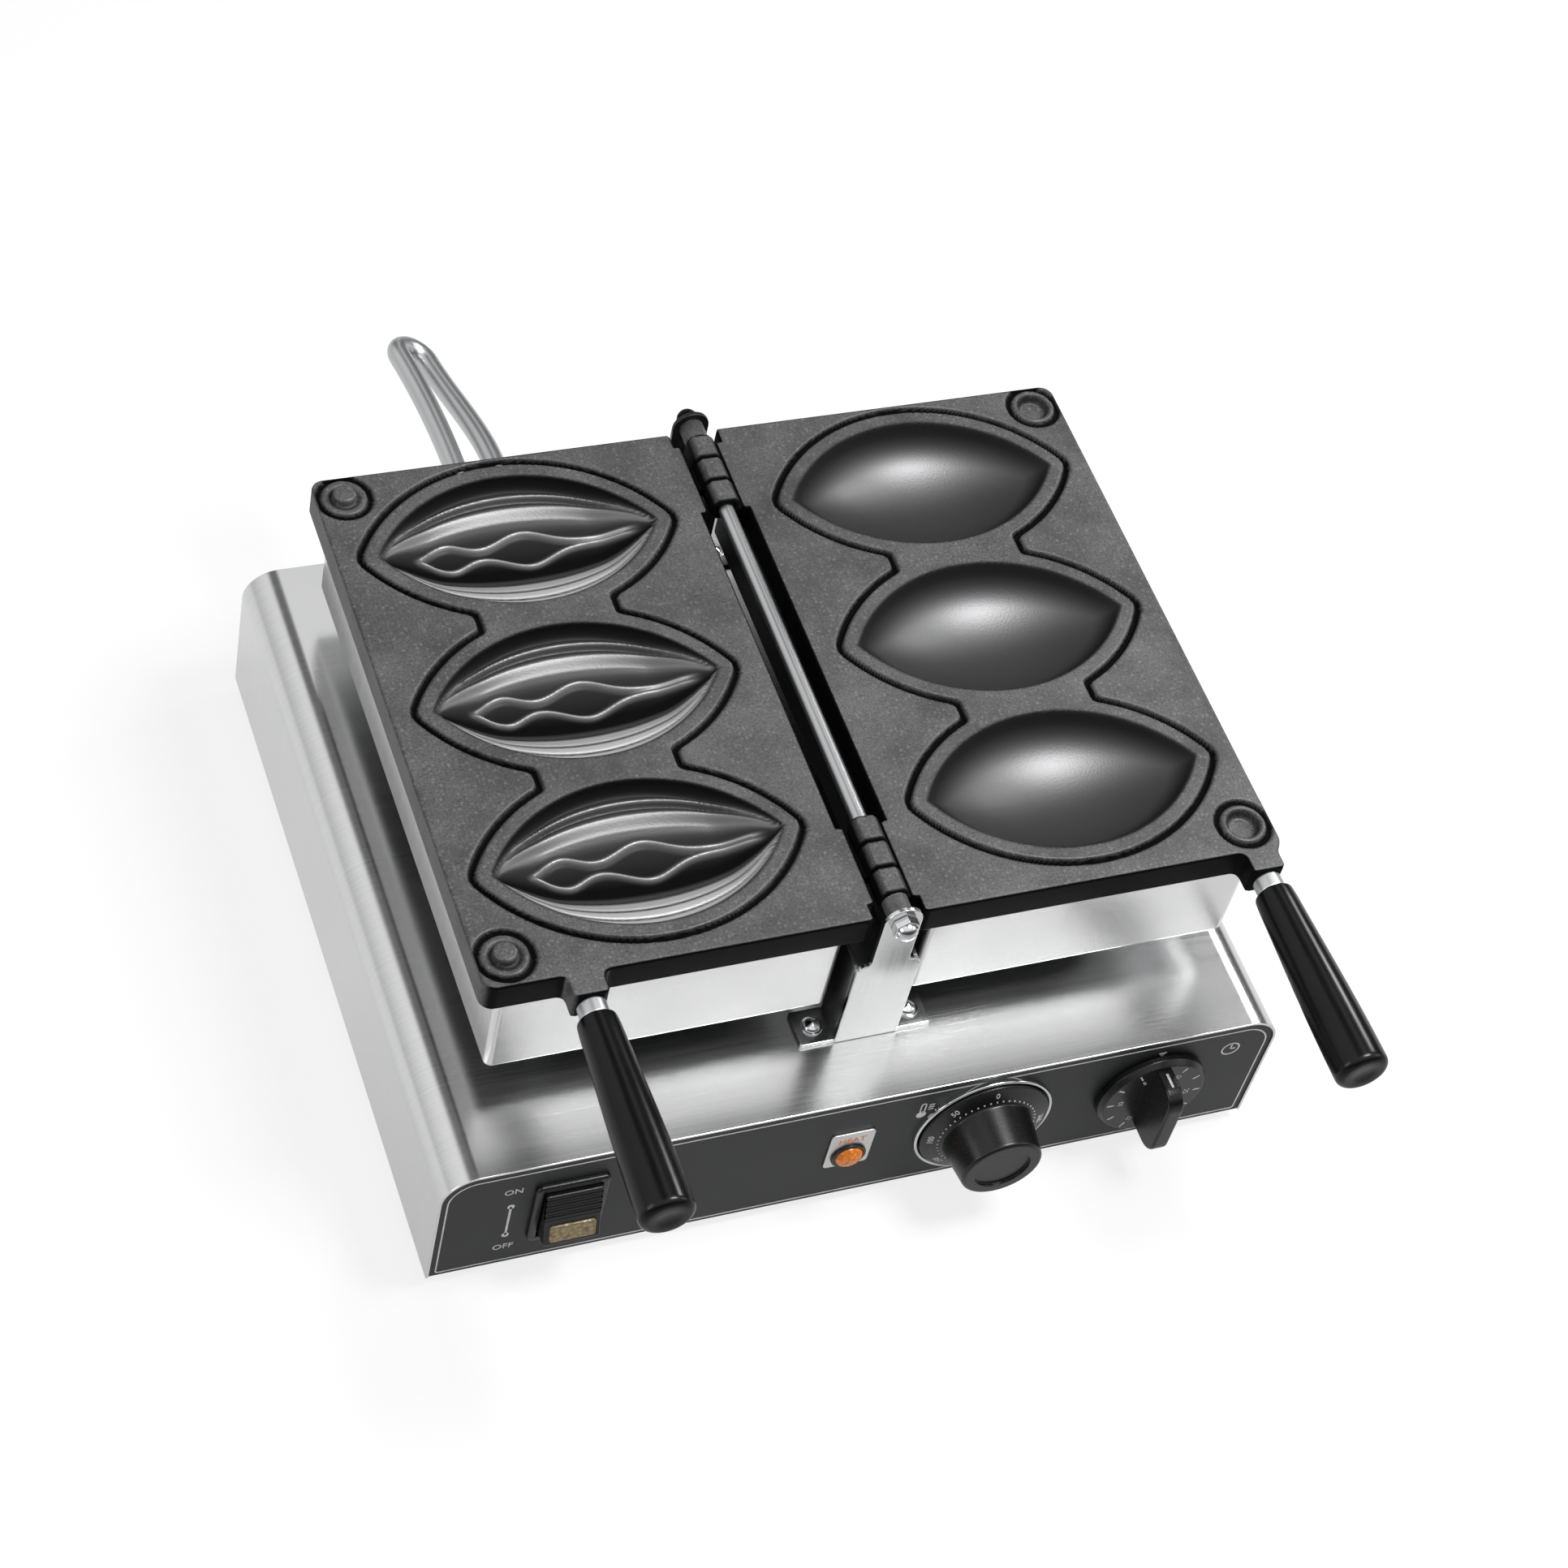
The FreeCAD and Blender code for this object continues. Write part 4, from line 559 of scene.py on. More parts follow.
# Sprayed droplets are a few tenths of a millimetre; they are drawn about 1 mm wide so that they show.
drops = add(tree, "ShaderNodeTexVoronoi", {"Vector": spot.outputs["Object"], "Scale": 420.0})
grain = add(tree, "ShaderNodeTexNoise", {"Vector": spot.outputs["Object"], "Scale": 900.0, "Detail": 2.0})
mould = add(tree, "ShaderNodeAttribute", attribute_name="mould")
mottle = add(tree, "ShaderNodeMath", {0: cloud.outputs[0], 1: grain.outputs[0]}, operation="MULTIPLY")
blend = add(tree, "ShaderNodeMapRange", {0: mottle.outputs[0], 1: 0.13, 2: 0.38})
coat = add(tree, "ShaderNodeMix", {0: blend.outputs[0], 6: linear("#2e2e2f"), 7: linear("#565657")},
           data_type="RGBA")
pick = add(tree, "ShaderNodeSeparateColor", {0: drops.outputs["Color"]})
rare = add(tree, "ShaderNodeMapRange", {0: pick.outputs[0], 1: 0.3, 2: 1.0, 3: 0.0, 4: 0.22})
near = add(tree, "ShaderNodeMapRange", {0: drops.outputs["Distance"], 1: 0.1, 2: 0.5, 3: 1.0, 4: 0.0})
speck = add(tree, "ShaderNodeMath", {0: rare.outputs[0], 1: near.outputs[0]}, operation="MULTIPLY")
open_face = add(tree, "ShaderNodeMapRange", {0: mould.outputs["Fac"], 3: 1.0, 4: 0.12})
speck = add(tree, "ShaderNodeMath", {0: speck.outputs[0], 1: open_face.outputs[0]}, operation="MULTIPLY")
dotted = add(tree, "ShaderNodeMix", {0: speck.outputs[0], 6: coat.outputs[2], 7: linear("#a2a2a2")},
             data_type="RGBA")
# The moulds are burnished by use to a more metallic sheen. A painted highlight lightens their ridges and
# far slopes, and painted shade blackens the grooves, hollows and shaded sides and takes the shine off them.
tone_with_painted_light = add(tree, "ShaderNodeMix", {0: mould.outputs["Fac"], 6: dotted.outputs[2], 7: linear("#505051")},
           data_type="RGBA")
# Painted highlight: a near white tone where an attribute marks it.
painted_highlight = add(tree, "ShaderNodeAttribute", attribute_name="highlight_mark")
tone_with_painted_light = add(tree, "ShaderNodeMix", {0: painted_highlight.outputs["Fac"], 6: tone_with_painted_light.outputs[2], 7: linear("#dedede")},
           data_type="RGBA")
# Painted shade: a near black tone where an attribute marks it.
shade_mark = add(tree, "ShaderNodeAttribute", attribute_name="painted_shade")
tone_with_painted_light = add(tree, "ShaderNodeMix", {0: shade_mark.outputs["Fac"], 6: tone_with_painted_light.outputs[2], 7: linear("#0c0c0c")},
           data_type="RGBA")
sheen = add(tree, "ShaderNodeMapRange", {0: mould.outputs["Fac"], 3: 0.0, 4: 0.8})
# Painted shade also takes away the metallic sheen and the specular.
unshaded = add(tree, "ShaderNodeMapRange", {0: shade_mark.outputs["Fac"], 3: 1.0, 4: 0.1})
sheen = add(tree, "ShaderNodeMath", {0: sheen.outputs[0], 1: unshaded.outputs[0]}, operation="MULTIPLY")
lustre = add(tree, "ShaderNodeMath", {0: unshaded.outputs[0], 1: 0.5}, operation="MULTIPLY")
dim = add(tree, "ShaderNodeMix", {0: shade_mark.outputs["Fac"], 6: linear("#ffffff"), 7: linear("#303030")},
          data_type="RGBA")
tree.links.new(dim.outputs[2], shader.inputs["Specular Tint"])
tree.links.new(sheen.outputs[0], shader.inputs["Metallic"])
tree.links.new(lustre.outputs[0], shader.inputs["Specular IOR Level"])
dull = add(tree, "ShaderNodeMapRange", {0: grain.outputs[0], 1: 0.3, 2: 0.7, 3: 0.4, 4: 0.54})
gloss = add(tree, "ShaderNodeMix", {0: mould.outputs["Fac"], 2: dull.outputs[0], 3: 0.44},
            data_type="FLOAT")
gloss = add(tree, "ShaderNodeMix", {0: shade_mark.outputs["Fac"], 2: gloss.outputs[0], 3: 0.55},
            data_type="FLOAT")
relief = add(tree, "ShaderNodeBump", {"Height": grain.outputs[0], "Strength": 0.25, "Distance": 0.0003})
tree.links.new(tone_with_painted_light.outputs[2], shader.inputs["Base Color"])
tree.links.new(gloss.outputs[0], shader.inputs["Roughness"])
tree.links.new(relief.outputs[0], shader.inputs["Normal"])

plate_front, plate_back = -147.25, 175.25
eye, chamfer, arm = 7.2, 3.0, 9.63
knuckle_inset, knuckle_width, knuckle_gap = 9.2, 15.6, 0.4
face_z, under_z = 191.0, 174.0
pitch = knuckle_width + knuckle_gap


def knuckle_span(end, way, i):
    """Range in y of knuckle i, counted from one end of the plate."""
    near = knuckle_inset + i * pitch
    return sorted((end + way * near, end + way * (near + knuckle_width)))


spans = [[knuckle_span(end, way, i) for i in range(3)] for end, way in ((plate_front, 1), (plate_back, -1))]
short = eye - chamfer
for name, side, which in (("left", -1, (1,)), ("right", 1, (0, 2))):
    outline = np.array([(short, -eye), (eye, -short), (eye, short), (short, eye), (face_z - hinge_z, eye),
                        (face_z - hinge_z, arm), (-eye, arm), (-eye, -short), (-short, -eye)])
    outline = rounded(outline * (1, side) + (hinge_z, hinge_x), 0.5, 3)
    eyes, painted_shade = [], []
    for low, high in [group[i] for group in spans for i in which]:
        points, faces = shell(outline, rim(low, high, 1.9, 5), "y")
        eyes.append((points, faces))
        # Painted shade: the knuckles' ends, beside the gaps between them, and their sides below the top face.
        from_end = np.minimum(points[:, 1] - low, high - points[:, 1])
        painted_shade.append(np.maximum(ease(1.7, 0.9, from_end), ease(6.9, 6.0, points[:, 2] - hinge_z)))
    piece(name + "_knuckles", eyes, nonstick, name + "_plate", "cast_nonstick", name + "_hinge_knuckles",
          marks={"painted_shade": np.concatenate(painted_shade)})
dress(nonstick, "hinge_spacers")

satin = grained("satin_steel_bar", (60.0, 8.0, 60.0), "#b4b5b6", "#cecfd0", 0.32, 0.38)
shaft_radius, shaft_ends = 4.0, (-158.95, 186.95)
shaft = rounded(oblong((0, shaft_radius), shaft_ends), (0, 0.8, 0.8, 0), 5, closed=False)
piece("ground_shaft", [lathe(shaft, (hinge_x, 0, hinge_z), (0, 1, 0), 40)], satin, "base", "polished_steel",
      "hinge_shaft")
flats, nut_height, crown_radius, crown_height, crown_sunk = 12.0, 5.0, 5.6, 4.5, 0.6
corner = np.radians(np.arange(6) * 60.0)
hexagon = flats / math.sqrt(3) * np.stack((np.cos(corner), np.sin(corner)), 1) + (hinge_z, hinge_x)
cap_angle = np.linspace(0, math.pi / 2, 9)
crown = np.stack((crown_radius * np.cos(cap_angle),
                  nut_height - crown_sunk + (crown_height + crown_sunk) * np.sin(cap_angle)), 1)
crown = np.concatenate(([(0, nut_height - 1), (crown_radius, nut_height - 1)], crown))
nuts = []
for start, outward in ((bracket_front, -1), (bracket_back, 1)):
    levels = sorted((start, start + outward * nut_height))
    nuts.append(shell(rounded(hexagon, 0.4, 3), rim(*levels, 0.7, 4), "y"))
    nuts.append(lathe(crown, (hinge_x, start, hinge_z), (0, outward, 0), 40))
# Painted shade on the rear nut.
at_back = np.concatenate([points[:, 1] for points, faces in nuts]) > 0
piece("domed_nuts", nuts, bright, "base", "polished_steel", "shaft_nuts", marks={"painted_shade": at_back})

# Mould plates: cast aluminium with a speckled non-stick coat. Each has three almond moulds, a groove
# that runs round all three for the overflow, guide rings at the outer corners and an ear for the handle.
plate_inner, plate_outer = 13.0, 208.0
corner_radius, top_round, low_round = 7.0, 1.3, 1.0
mould_middle, tip, half_width = 112.0, 73.5, 42.0
arc_centre = (tip ** 2 - half_width ** 2) / (2 * half_width)
arc_radius = arc_centre + half_width
rows = np.array([-83.75, 17.75, 119.25])
ear_half, ear_end = 9.0, -159.25
groove_offset, groove_neck, groove_depth = 10.0, 36.0, 3.0
groove_flat, groove_half = 0.8, 2.1
guide_u, guide_ys = 193.0, (-129.75, 161.25)
guide_ring, guide_ring_depth = 13.5, 2.2
pin_ring, pin_ring_depth = 7.2, 1.0
socket_mouth, socket_floor, socket_depth = 9.2, 6.4, 4.6
# The last is the radius of a ring of painted shade inside each socket.
socket_lip, socket_lip_height, socket_shade_ring = 10.2, 0.45, 7.9


def join(a, b, reach):
    """Smooth union of two distances: the smaller, less a quadratic where they differ by under reach."""
    h = np.maximum(reach - np.abs(a - b), 0) / reach
    return np.minimum(a, b) - h * h * reach / 4


def block(u, v, us, vs, radius):
    """Distance to a rectangle with rounded corners: negative inside, positive outside."""
    p = np.abs(u - sum(us) / 2) - (us[1] - us[0]) / 2 + radius
    q = np.abs(v - sum(vs) / 2) - (vs[1] - vs[0]) / 2 + radius
    return np.hypot(np.maximum(p, 0), np.maximum(q, 0)) + np.minimum(np.maximum(p, q), 0) - radius


def plate_edge(side, ear_x, x, y):
    """Distance to the plate's outline: the plate, its handle ear with a flared root and its hinge lugs."""
    u = side * (x - hinge_x)
    radius = np.where(u > plate_outer / 2, corner_radius, 1.5)
    edge = block(u, y, (plate_inner, plate_outer), (plate_front, plate_back), radius)
    ear = block(x, y, (ear_x - ear_half, ear_x + ear_half), (ear_end, plate_front + 30), 1.5)
    edge = join(edge, ear, 6.0)
    for group in spans:
        ends = (min(group[0][0], group[2][0]), max(group[0][1], group[2][1]))
        edge = join(edge, block(u, y, (arm, plate_inner + 20), ends, 0.8), 1.5)
    return edge


def almond(x, y):
    """Distance to an almond of two arcs: to the nearer arc, or to the tip where that is nearer."""
    p, q = np.abs(y), np.abs(x)
    past_tip = (q - tip) * arc_centre > p * tip
    return np.where(past_tip, np.hypot(p, q - tip), np.hypot(p + arc_centre, q) - arc_radius)


def steep_rim(depth, edge):
    """Rounds a mould's depth into the face, with a wall no steeper than 2.8 to 1 and a soft upper edge."""
    steepness, softness, reach = 2.8, 0.5, 2.5
    wall = steepness * softness * np.log1p(np.exp(np.clip(-edge / softness, -60, 60)))
    return np.maximum(join(depth, wall, reach), 0) * (edge < reach)


def smooth_dish(x, y, edge):
    """Depth of the plain mould: near half ellipses across it, whose depth follows an arc along it.

    Painted shade darkens it towards its rim and over its near half, and a painted highlight brightens its far
    half."""
    bow_radius, bow_depth = 129.1, 23.0
    bow = np.sqrt(np.maximum(bow_radius ** 2 - x ** 2, 0)) - (bow_radius - bow_depth)
    width = np.maximum(np.sqrt(np.maximum(arc_radius ** 2 - x ** 2, 0)) - arc_centre, 1.0)
    depth = steep_rim(bow * np.maximum(1 - (y / width) ** 2, 0) ** 0.62, edge)
    # Painted shade towards the rim and over the near half, and a painted highlight over the far half.
    painted_shade = np.maximum(0.85 * ease(-17.0, -1.0, edge), 0.42 * ease(26.0, -14.0, y)) * ease(2.0, 0.0, edge)
    return depth, painted_shade, 0.08 * ease(-5.0, -20.0, edge) * ease(-6.0, 20.0, y)


def terraces(share, shares, depths):
    """Depth at a share of the width, through given depths at given shares.

    Between two of them it is half a straight slope and half a smooth step."""
    shares, depths = np.array(shares), np.array(depths)
    k = np.clip(np.searchsorted(shares, share, "right") - 1, 0, len(shares) - 2)
    rise = (share - shares[k]) / (shares[k + 1] - shares[k])
    return depths[k] + (depths[k + 1] - depths[k]) * (rise + ease(0, 1, rise)) / 2


def ridged_dish(x, y, edge):
    """Depth of the ridged mould: valleys and ridges along it, at set shares of its width, and a wavy core.

    Two low lines bound the core; their distance from the middle is the sum of two bell curves along x.
    Painted shade in its valleys and painted highlights on its ridges follow the same shares."""
    width = np.maximum(np.sqrt(np.maximum(arc_radius ** 2 - x ** 2, 0)) - arc_centre, 1.0)
    share = np.minimum(np.abs(y) / width, 1)
    near_depth = terraces(
        share, (0.0, 0.25, 0.36, 0.46, 0.5, 0.56, 0.59, 0.68, 0.71, 0.74, 0.84, 0.87, 0.97, 1.0),
        (11.0, 11.2, 10.8, 9.8, 9.0, 9.2, 8.6, 7.3, 7.7, 6.6, 5.1, 5.6, 3.6, 2.6))
    far_depth = terraces(share, (0.0, 0.33, 0.46, 0.63, 0.72, 0.79, 0.88, 1.0),
                         (11.0, 11.2, 10.6, 6.8, 9.0, 5.6, 8.0, 4.5))
    depth = np.where(y < 0, near_depth, far_depth)
    depth *= 0.35 + 0.65 * ease(0.0, 0.45, 1 - np.abs(x) / tip)
    wave = 1.3 + 7.1 * np.exp(-((x + 36.5) / 11.5) ** 2) + 9.7 * np.exp(-((x - 4.3) / 17) ** 2)
    wave *= np.sqrt(ease(-54, -44, x))
    along = ease(-57, -50, x) * (1 - ease(54, 68, x))
    depth -= 2.4 * along * np.exp(-((np.abs(y) - wave) / 1.8) ** 2)
    depth += 0.8 * along * ease(1.0, -2.0, np.abs(y) - wave)
    # Painted shade in the valleys and painted highlights on the ridges, at set shares of the width.
    near_shade = np.interp(
        share, (0.0, 0.3, 0.46, 0.52, 0.56, 0.59, 0.68, 0.71, 0.74, 0.84, 0.87, 0.9, 0.97, 1.0),
        (0.85, 1.0, 1.0, 0.6, 0.8, 0.1, 0.1, 0.8, 0.0, 0.0, 0.8, 0.0, 0.0, 0.6))
    far_shade = np.interp(share, (0.0, 0.25, 0.4, 0.62, 0.67, 0.7, 0.75, 0.81, 0.87, 0.93, 1.0),
                         (0.85, 0.7, 0.2, 0.0, 0.3, 0.6, 0.1, 0.1, 0.6, 0.9, 1.0))
    near_highlight = np.interp(share, (0.0, 0.56, 0.6, 0.68, 0.71, 0.75, 0.84, 0.87, 0.9, 0.96, 0.99),
                           (0, 0, 0.7, 0.7, 0, 1, 1, 0, 1, 1, 0))
    far_highlight = np.interp(share, (0.0, 0.36, 0.5, 0.6, 0.67, 0.76, 0.79, 0.84),
                          (0, 0, 0.12, 0.12, 0, 0, 0.2, 0))
    # Along the core's two lines the painted shade gives way to a painted highlight.
    line = along * np.exp(-((np.abs(y) - wave) / 1.9) ** 2)
    painted_shade = np.where(y < 0, near_shade, far_shade) * (1 - 0.9 * line) * ease(2.0, 0.0, edge)
    highlight_mark = np.maximum(np.where(y < 0, near_highlight, far_highlight), 0.3 * line) * ease(0.0, -1.0, edge)
    return steep_rim(depth, edge), painted_shade, highlight_mark


def fill(loops, level):
    """Flat face at a level, bounded by loops, each (points, pairs of neighbours)."""
    counts = np.cumsum([0] + [len(points) for points, pairs in loops])
    points = np.concatenate([points[:, :2] for points, pairs in loops])
    points = np.column_stack((points, np.full(len(points), level)))
    pairs = np.concatenate([np.asarray(pairs) + start for (_, pairs), start in zip(loops, counts)])
    flat = bpy.data.meshes.new("fill")
    flat.from_pydata(points, pairs.tolist(), [])
    wire = bmesh.new()
    wire.from_mesh(flat)
    bmesh.ops.triangle_fill(wire, edges=wire.edges, use_beauty=True)
    triangles = np.array([[corner.index for corner in triangle.verts] for triangle in wire.faces])
    wire.free()
    bpy.data.meshes.remove(flat)
    return points, [triangles]


def cast_plate(side, ear_x, dish):
    """Plate as a height field inside its outline, with rounded walls and the moulds' bulges below.

    Grid cells well inside the outline are kept, their outermost points are moved onto the line where
    the top edge's round starts, and the wall's rings step out from there along the outline's normal. The
    last ring is a narrow strip of the underside, so that the wall's shading ends there."""
    middle_x = hinge_x + side * mould_middle
    cell_x, cell_y, strip = 1.08, 0.765, 0.8
    xs = hinge_x + side * np.arange(9.0, 210.0, cell_x)
    ys = np.arange(-159.4, 176.0, cell_y)
    x, y = np.meshgrid(xs, ys)
    inside = plate_edge(side, ear_x, x, y) < 0.3 - top_round
    cells = inside[:-1, :-1] & inside[:-1, 1:] & inside[1:, 1:] & inside[1:, :-1]
    numbers = np.arange(x.size).reshape(x.shape)
    quads = np.stack((numbers[:-1, :-1], numbers[:-1, 1:], numbers[1:, 1:], numbers[1:, :-1]), -1)[cells]
    used, quads = np.unique(quads, return_inverse=True)
    quads = quads.reshape(-1, 4)
    x, y = x.ravel()[used], y.ravel()[used]
    pairs = np.stack((quads, np.roll(quads, -1, 1)), -1).reshape(-1, 2)
    code, back = pairs @ (len(x), 1), pairs[:, ::-1] @ (len(x), 1)
    pairs = pairs[~np.isin(code, back)]
    rim_points, pairs = np.unique(pairs, return_inverse=True)
    pairs = pairs.reshape(-1, 2)
    step = 0.02
    for _ in range(4):
        a, b = x[rim_points], y[rim_points]
        edge = plate_edge(side, ear_x, a, b)
        slope = np.stack((plate_edge(side, ear_x, a + step, b) - plate_edge(side, ear_x, a - step, b),
                          plate_edge(side, ear_x, a, b + step) - plate_edge(side, ear_x, a, b - step)), 1)
        slope /= np.linalg.norm(slope, axis=1)[:, None]
        x[rim_points] -= (edge + top_round) * slope[:, 0]
        y[rim_points] -= (edge + top_round) * slope[:, 1]
    local = x - middle_x
    edges = np.stack([almond(local, y - row) for row in rows])
    neck = np.maximum(np.abs(local) - groove_neck + groove_offset, np.abs(y - rows[1]) - (rows[1] - rows[0]))
    line = join(edges.min(0), neck, 3.0)
    depth = groove_depth * (1 - ease(groove_flat, groove_half, np.abs(line - groove_offset)))
    away = np.min([np.hypot(x - hinge_x - side * guide_u, y - guide_y) for guide_y in guide_ys], 0)
    depth = np.maximum(depth, guide_ring_depth * (1 - ease(0.8, 2.2, np.abs(away - guide_ring))))
    if side < 0:
        depth = np.maximum(depth, pin_ring_depth * (1 - ease(0.5, 1.6, np.abs(away - pin_ring))))
    # Painted shade in the groove and the guide rings, darkest where they are deepest.
    recess_shade = np.clip(depth / 1.4, 0, 1)
    if side > 0:
        depth += socket_depth * ease(socket_mouth, socket_floor, away)
        depth -= socket_lip_height * np.exp(-((away - socket_lip) / 1.0) ** 2)
        # Painted shade in a ring inside each socket.
        recess_shade = np.maximum(recess_shade, 0.8 * np.exp(-((away - socket_shade_ring) / 1.1) ** 2))
    row = edges.argmin(0)
    sunk, shade_mark, highlight_mark = dish(local, y - rows[row], edges.min(0))
    depth += sunk
    top = np.column_stack((x, y, face_z - depth))
    start = top[rim_points]
    angle = np.radians((30.0, 60.0, 90.0))
    eased = low_round * (1 - math.sqrt(0.5))
    steps = np.concatenate((
        np.stack((top_round * np.sin(angle), face_z - top_round * (1 - np.cos(angle))), 1),
        [(top_round, under_z + low_round), (top_round - eased, under_z + eased),
         (top_round - low_round, under_z), (top_round - low_round - strip, under_z)]))
    rings = np.empty((len(steps), len(start), 3))
    rings[..., :2] = start[:, :2] + steps[:, None, :1] * slope
    rings[..., 2] = steps[:, 1:]
    points = np.concatenate((top, rings.reshape(-1, 3)))
    ring_numbers = len(top) + np.arange(rings[..., 0].size).reshape(len(steps), -1)
    levels = np.concatenate((rim_points[None], ring_numbers))
    walls = np.stack((levels[:-1][:, pairs[:, 0]], levels[:-1][:, pairs[:, 1]], levels[1:][:, pairs[:, 1]],
                      levels[1:][:, pairs[:, 0]]), -1).reshape(-1, 4)
    turn = np.linspace(-1, 1, 25)[:-1]
    inset, bulge_low = 6.0, 162.0
    reach = math.acos(arc_centre / (arc_radius - inset))
    curve = (arc_radius - inset) * np.stack((np.sin(turn * reach), np.cos(turn * reach)), 1) - (0, arc_centre)
    leaf = np.concatenate((curve, -curve))
    bulge = [(0, under_z), (0, bulge_low + 2), (0.6, bulge_low + 0.6), (2, bulge_low)]
    loops = [(rings[-1], pairs)]
    bulges = []
    for row_y in rows:
        around = leaf + (middle_x, row_y)
        below, (flank, _, bottom) = shell(around, bulge)
        bulges.append((below, [flank, bottom]))
        links = np.arange(len(leaf))
        loops.append((around, np.stack((links, np.roll(links, -1)), 1)))
    parts = [(points, [quads, walls]), fill(loops, under_z)] + bulges
    gloss = np.zeros(sum(len(part[0]) for part in parts))
    gloss[:len(top)] = ease(1.0, -1.0, edges.min(0))
    # Painted shade: the underside and the bulges are fully darkened, the upright walls most beside the hinge,
    # and the top face in its grooves and moulds.
    painted_shade = np.ones_like(gloss)
    painted_shade[:len(top)] = np.maximum(recess_shade, shade_mark)
    upright = len(steps) - 2
    away_from_hinge = ease(0.5, 0.9, side * slope[:, 0])
    painted_shade[len(top):len(top) + upright * len(start)] = np.tile(1 - 0.8 * away_from_hinge, upright)
    # Painted highlight on the moulds' ridges and far slopes.
    painted_highlight = np.zeros_like(gloss)
    painted_highlight[:len(top)] = highlight_mark
    return parts, {"mould": gloss, "painted_shade": painted_shade, "highlight_mark": painted_highlight}


handle_xs = {"left": -154.5, "right": 199.5}
for name, side, dish in (("left", -1, ridged_dish), ("right", 1, smooth_dish)):
    parts, marks = cast_plate(side, handle_xs[name], dish)
    piece(name + "_mould_plate", parts, nonstick, name + "_plate", "cast_nonstick", name + "_plate",
          sharp=75.0, marks=marks)

# Guide pins: two turned steel studs pressed into the left plate, which enter the right plate's sockets
# as it shuts. They carry the same non-stick coating as the plate.
pin_radius, pin_height, pin_seat = 6.0, 4.0, 6.0
pin_ends = (face_z - pin_seat, face_z + pin_height)
pin = rounded(oblong((0, pin_radius), pin_ends), (0, 0.2, 1.8, 0), 7, closed=False)
pins = [lathe(pin, (hinge_x - guide_u, guide_y, 0), upward, 40) for guide_y in guide_ys]
piece("guide_pins", pins, nonstick, "left_plate", "cast_nonstick", "left_guide_pins")

# Bar loop: a 12 mm satin steel bar bent into a hairpin and pressed into the left plate's back edge.
# One leg leans out a little, the other bows in and drops towards the half turn that joins them.
bar_radius, bar_sides, leg_gap, loop_x, loop_z = 5.9, 32, 21.0, -113.5, 182.5
lean, neck, drop, loop_reach, seat = math.radians(9.0), 17.0, 10.0, 102.95, 11.0
back = np.array((0.0, 1.0, 0.0))
leaning = np.array((-math.sin(lean), math.cos(lean), 0.0))
chord = np.array((neck, neck * math.tan(lean), -drop))
turn_radius = np.linalg.norm(chord) / 2
run = loop_reach - bar_radius - math.hypot(chord[1] / 2, turn_radius * leaning[1]) - chord[1] / 2
starts = [np.array((loop_x + side * leg_gap / 2, plate_back, loop_z)) for side in (-1, 1)]
first = starts[0] + (-run * math.tan(lean) / 2, run, 0)
second = first + chord
t = np.linspace(0, 1, 40)[:, None]
straight = (1 - t) ** 2 * starts[0] + 2 * t * (1 - t) * (starts[0] + back * run / 2) + t ** 2 * first
bowed = ((1 - t) ** 3 * second + 3 * t * (1 - t) ** 2 * (second - leaning * run / 3)
         + 3 * t ** 2 * (1 - t) * (starts[1] + back * run / 3) + t ** 3 * starts[1])
sweep = np.linspace(0, math.pi, 40)[1:-1, None]
turned = (first + second) / 2 - np.cos(sweep) * chord / 2 + np.sin(sweep) * turn_radius * leaning
path = np.concatenate(([starts[0] - back * seat], straight, turned, bowed, [starts[1] - back * seat]))
tangent = np.gradient(path, axis=0)
tangent /= np.linalg.norm(tangent, axis=1)[:, None]
beside = np.cross(upward, tangent)
beside /= np.linalg.norm(beside, axis=1)[:, None]
above = np.cross(tangent, beside)
turn = np.linspace(0, 2 * math.pi, bar_sides, endpoint=False)[None, :, None]
tube = path[:, None] + bar_radius * (np.cos(turn) * beside[:, None] + np.sin(turn) * above[:, None])
points, faces = net(tube)
ends = np.arange(bar_sides)[None]
hairpin = (points, faces + [ends, ends + (len(path) - 1) * bar_sides])
piece("hairpin_bar", [hairpin], satin, "left_plate", "polished_steel", "rear_bar_loop")

# Heater boxes: open trays folded from stainless sheet, studded to the underside of each plate. Inside
# lie a tubular heater in its clamps, on a mat of ceramic fibre. Painted shade darkens the walls beside the
# hinge.
tray_steel = grained("bright_annealed_tray", (6.0, 1250.0, 6.0), "#dcdcdc", "#eaeaea", 0.16, 0.22)
box_low, box_round, tray_sheet = 115.0, 2.5, 1.2
box_near, box_far, box_ys = 22.0, 198.0, (-141.75, 169.75)
quarter = np.linspace(0, math.pi / 2, 5)
outside = np.stack((box_round * (1 - np.sin(quarter)), box_low + box_round * (1 - np.cos(quarter))), 1)
lining = outside[::-1] + tray_sheet
tray = np.concatenate((outside, [(0, under_z), (tray_sheet, under_z)], lining))
for name, side in (("left", -1), ("right", 1)):
    xs = sorted((hinge_x + side * box_near, hinge_x + side * box_far))
    points, faces = shell(rounded(oblong(xs, box_ys), 4.0, 8), tray)
    # Painted shade on the walls beside the hinge.
    from_hinge = np.abs(points[:, 0] - hinge_x) - box_near
    piece(name + "_tray", [(points, faces)], tray_steel, name + "_plate", "stainless_sheet",
          name + "_heater_box", marks={"painted_shade": 0.9 * ease(3.0, 0.5, from_hinge)})
